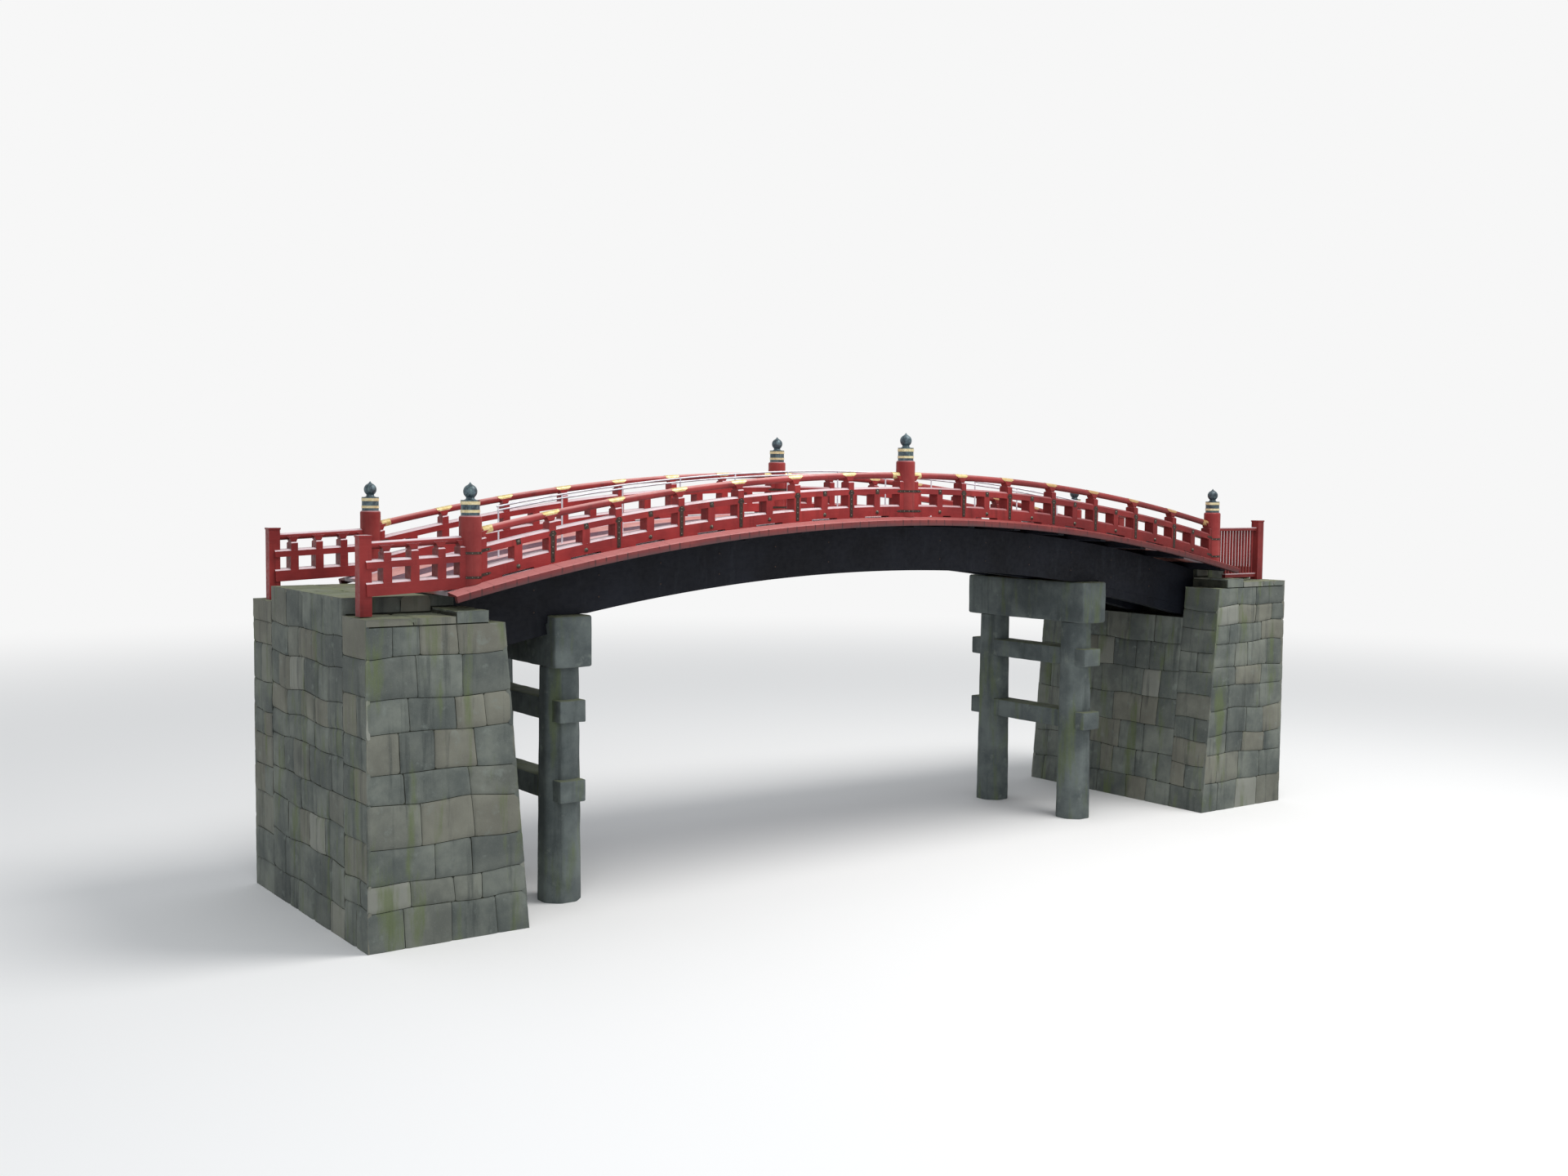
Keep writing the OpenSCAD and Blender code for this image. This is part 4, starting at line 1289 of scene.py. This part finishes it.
def make_camera():
    """The camera of the photograph, from the fit."""
    data = bpy.data.cameras.new("camera")
    data.sensor_width = SENSOR
    data.lens = CAMERA_FOCUS / IMAGE_W * SENSOR
    data.clip_start, data.clip_end = 0.5, 900.0
    camera = bpy.data.objects.new("camera", data)
    bpy.context.scene.collection.objects.link(camera)
    forward = Vector(
        (
            math.sin(CAMERA_YAW) * math.cos(CAMERA_PITCH),
            math.cos(CAMERA_YAW) * math.cos(CAMERA_PITCH),
            math.sin(CAMERA_PITCH),
        )
    )
    right = Vector((math.cos(CAMERA_YAW), -math.sin(CAMERA_YAW), 0))
    up = right.cross(forward)
    rolled_right = right * math.cos(CAMERA_ROLL) + up * math.sin(CAMERA_ROLL)
    rolled_up = up * math.cos(CAMERA_ROLL) - right * math.sin(CAMERA_ROLL)
    turn = Matrix((rolled_right, rolled_up, -forward)).transposed()
    camera.matrix_world = Matrix.Translation(CAMERA_AT) @ turn.to_4x4()
    bpy.context.scene.camera = camera


def add_shader(tree, kind, colour, strength=None):
    """A shader of one colour, and of one strength if it gives light."""
    node = tree.nodes.new(kind)
    node.inputs["Color"].default_value = (*colour, 1)
    if strength is not None:
        node.inputs["Strength"].default_value = strength
    return node.outputs[0]


def add_math(tree, kind, a, b):
    """A sum, product or the like of two values."""
    node = tree.nodes.new("ShaderNodeMath")
    node.operation = kind
    tree.links.new(a, node.inputs[0])
    tree.links.new(b, node.inputs[1])
    return node.outputs[0]


def blend_to(tree, out, share, first, second):
    """Mixes two shaders by a share into the surface of an output."""
    blend = tree.nodes.new("ShaderNodeMixShader")
    for socket, value in zip(blend.inputs, (share, first, second)):
        tree.links.new(value, socket)
    tree.links.new(blend.outputs[0], out.inputs["Surface"])


def make_floor():
    """A pale floor that fades into the background far from the bridge."""
    bm = bmesh.new()
    bmesh.ops.create_circle(bm, cap_ends=True, radius=FLOOR_R, segments=96)
    mesh = bpy.data.meshes.new("floor")
    bm.to_mesh(mesh)
    bm.free()
    floor = bpy.data.objects.new("floor", mesh)
    bpy.context.scene.collection.objects.link(floor)
    floor.location = (0, 0, -0.002)
    material = bpy.data.materials.new("floor")
    material.use_nodes = True
    tree = material.node_tree
    tree.nodes.clear()
    out = tree.nodes.new("ShaderNodeOutputMaterial")
    grey = add_shader(tree, "ShaderNodeBsdfDiffuse", (FLOOR_GREY,) * 3)
    glow = add_shader(tree, "ShaderNodeEmission", WHITE, BACKGROUND)
    coords = tree.nodes.new("ShaderNodeTexCoord")
    length = tree.nodes.new("ShaderNodeVectorMath")
    length.operation = "LENGTH"
    tree.links.new(coords.outputs["Object"], length.inputs[0])
    far = tree.nodes.new("ShaderNodeMapRange")
    far.interpolation_type = "SMOOTHSTEP"
    tree.links.new(length.outputs["Value"], far.inputs["Value"])
    far.inputs["From Min"].default_value = FLOOR_FADE[0]
    far.inputs["From Max"].default_value = FLOOR_FADE[1]
    path = tree.nodes.new("ShaderNodeLightPath").outputs
    seen = add_math(tree, "MAXIMUM", path["Is Camera Ray"], path["Is Glossy Ray"])
    blend_to(tree, out, add_math(tree, "MULTIPLY", far.outputs[0], seen), grey, glow)
    mesh.materials.append(material)


def make_world():
    """Soft sky light, with a plain pale background where it is seen."""
    world = bpy.data.worlds.new("world")
    bpy.context.scene.world = world
    world.use_nodes = True
    tree = world.node_tree
    tree.nodes.clear()
    out = tree.nodes.new("ShaderNodeOutputWorld")
    sky = add_shader(tree, "ShaderNodeBackground", SKY, SKY_STRENGTH)
    pale = add_shader(tree, "ShaderNodeBackground", WHITE, BACKGROUND)
    path = tree.nodes.new("ShaderNodeLightPath").outputs
    seen = add_math(tree, "MAXIMUM", path["Is Camera Ray"], path["Is Glossy Ray"])
    seen = add_math(tree, "MAXIMUM", seen, path["Is Transmission Ray"])
    blend_to(tree, out, seen, sky, pale)


def area_light(name, at, size, watts, colour):
    """A round soft light that is aimed at the bridge."""
    data = bpy.data.lights.new(name, "AREA")
    data.shape = "DISK"
    data.size = size
    data.energy = watts
    data.color = colour
    lamp = bpy.data.objects.new(name, data)
    bpy.context.scene.collection.objects.link(lamp)
    lamp.location = at
    aim = Vector(BRIDGE_AT) - Vector(at)
    lamp.rotation_euler = aim.to_track_quat("-Z", "Y").to_euler()


make_camera()
make_floor()
make_world()
area_light("key", (14, -16, 46), size=26, watts=17000, colour=(1.0, 0.98, 0.95))
area_light("fill", (-26, -34, 24), size=24, watts=2600, colour=(0.93, 0.96, 1.0))
bpy.context.scene.view_settings.view_transform = "Standard"
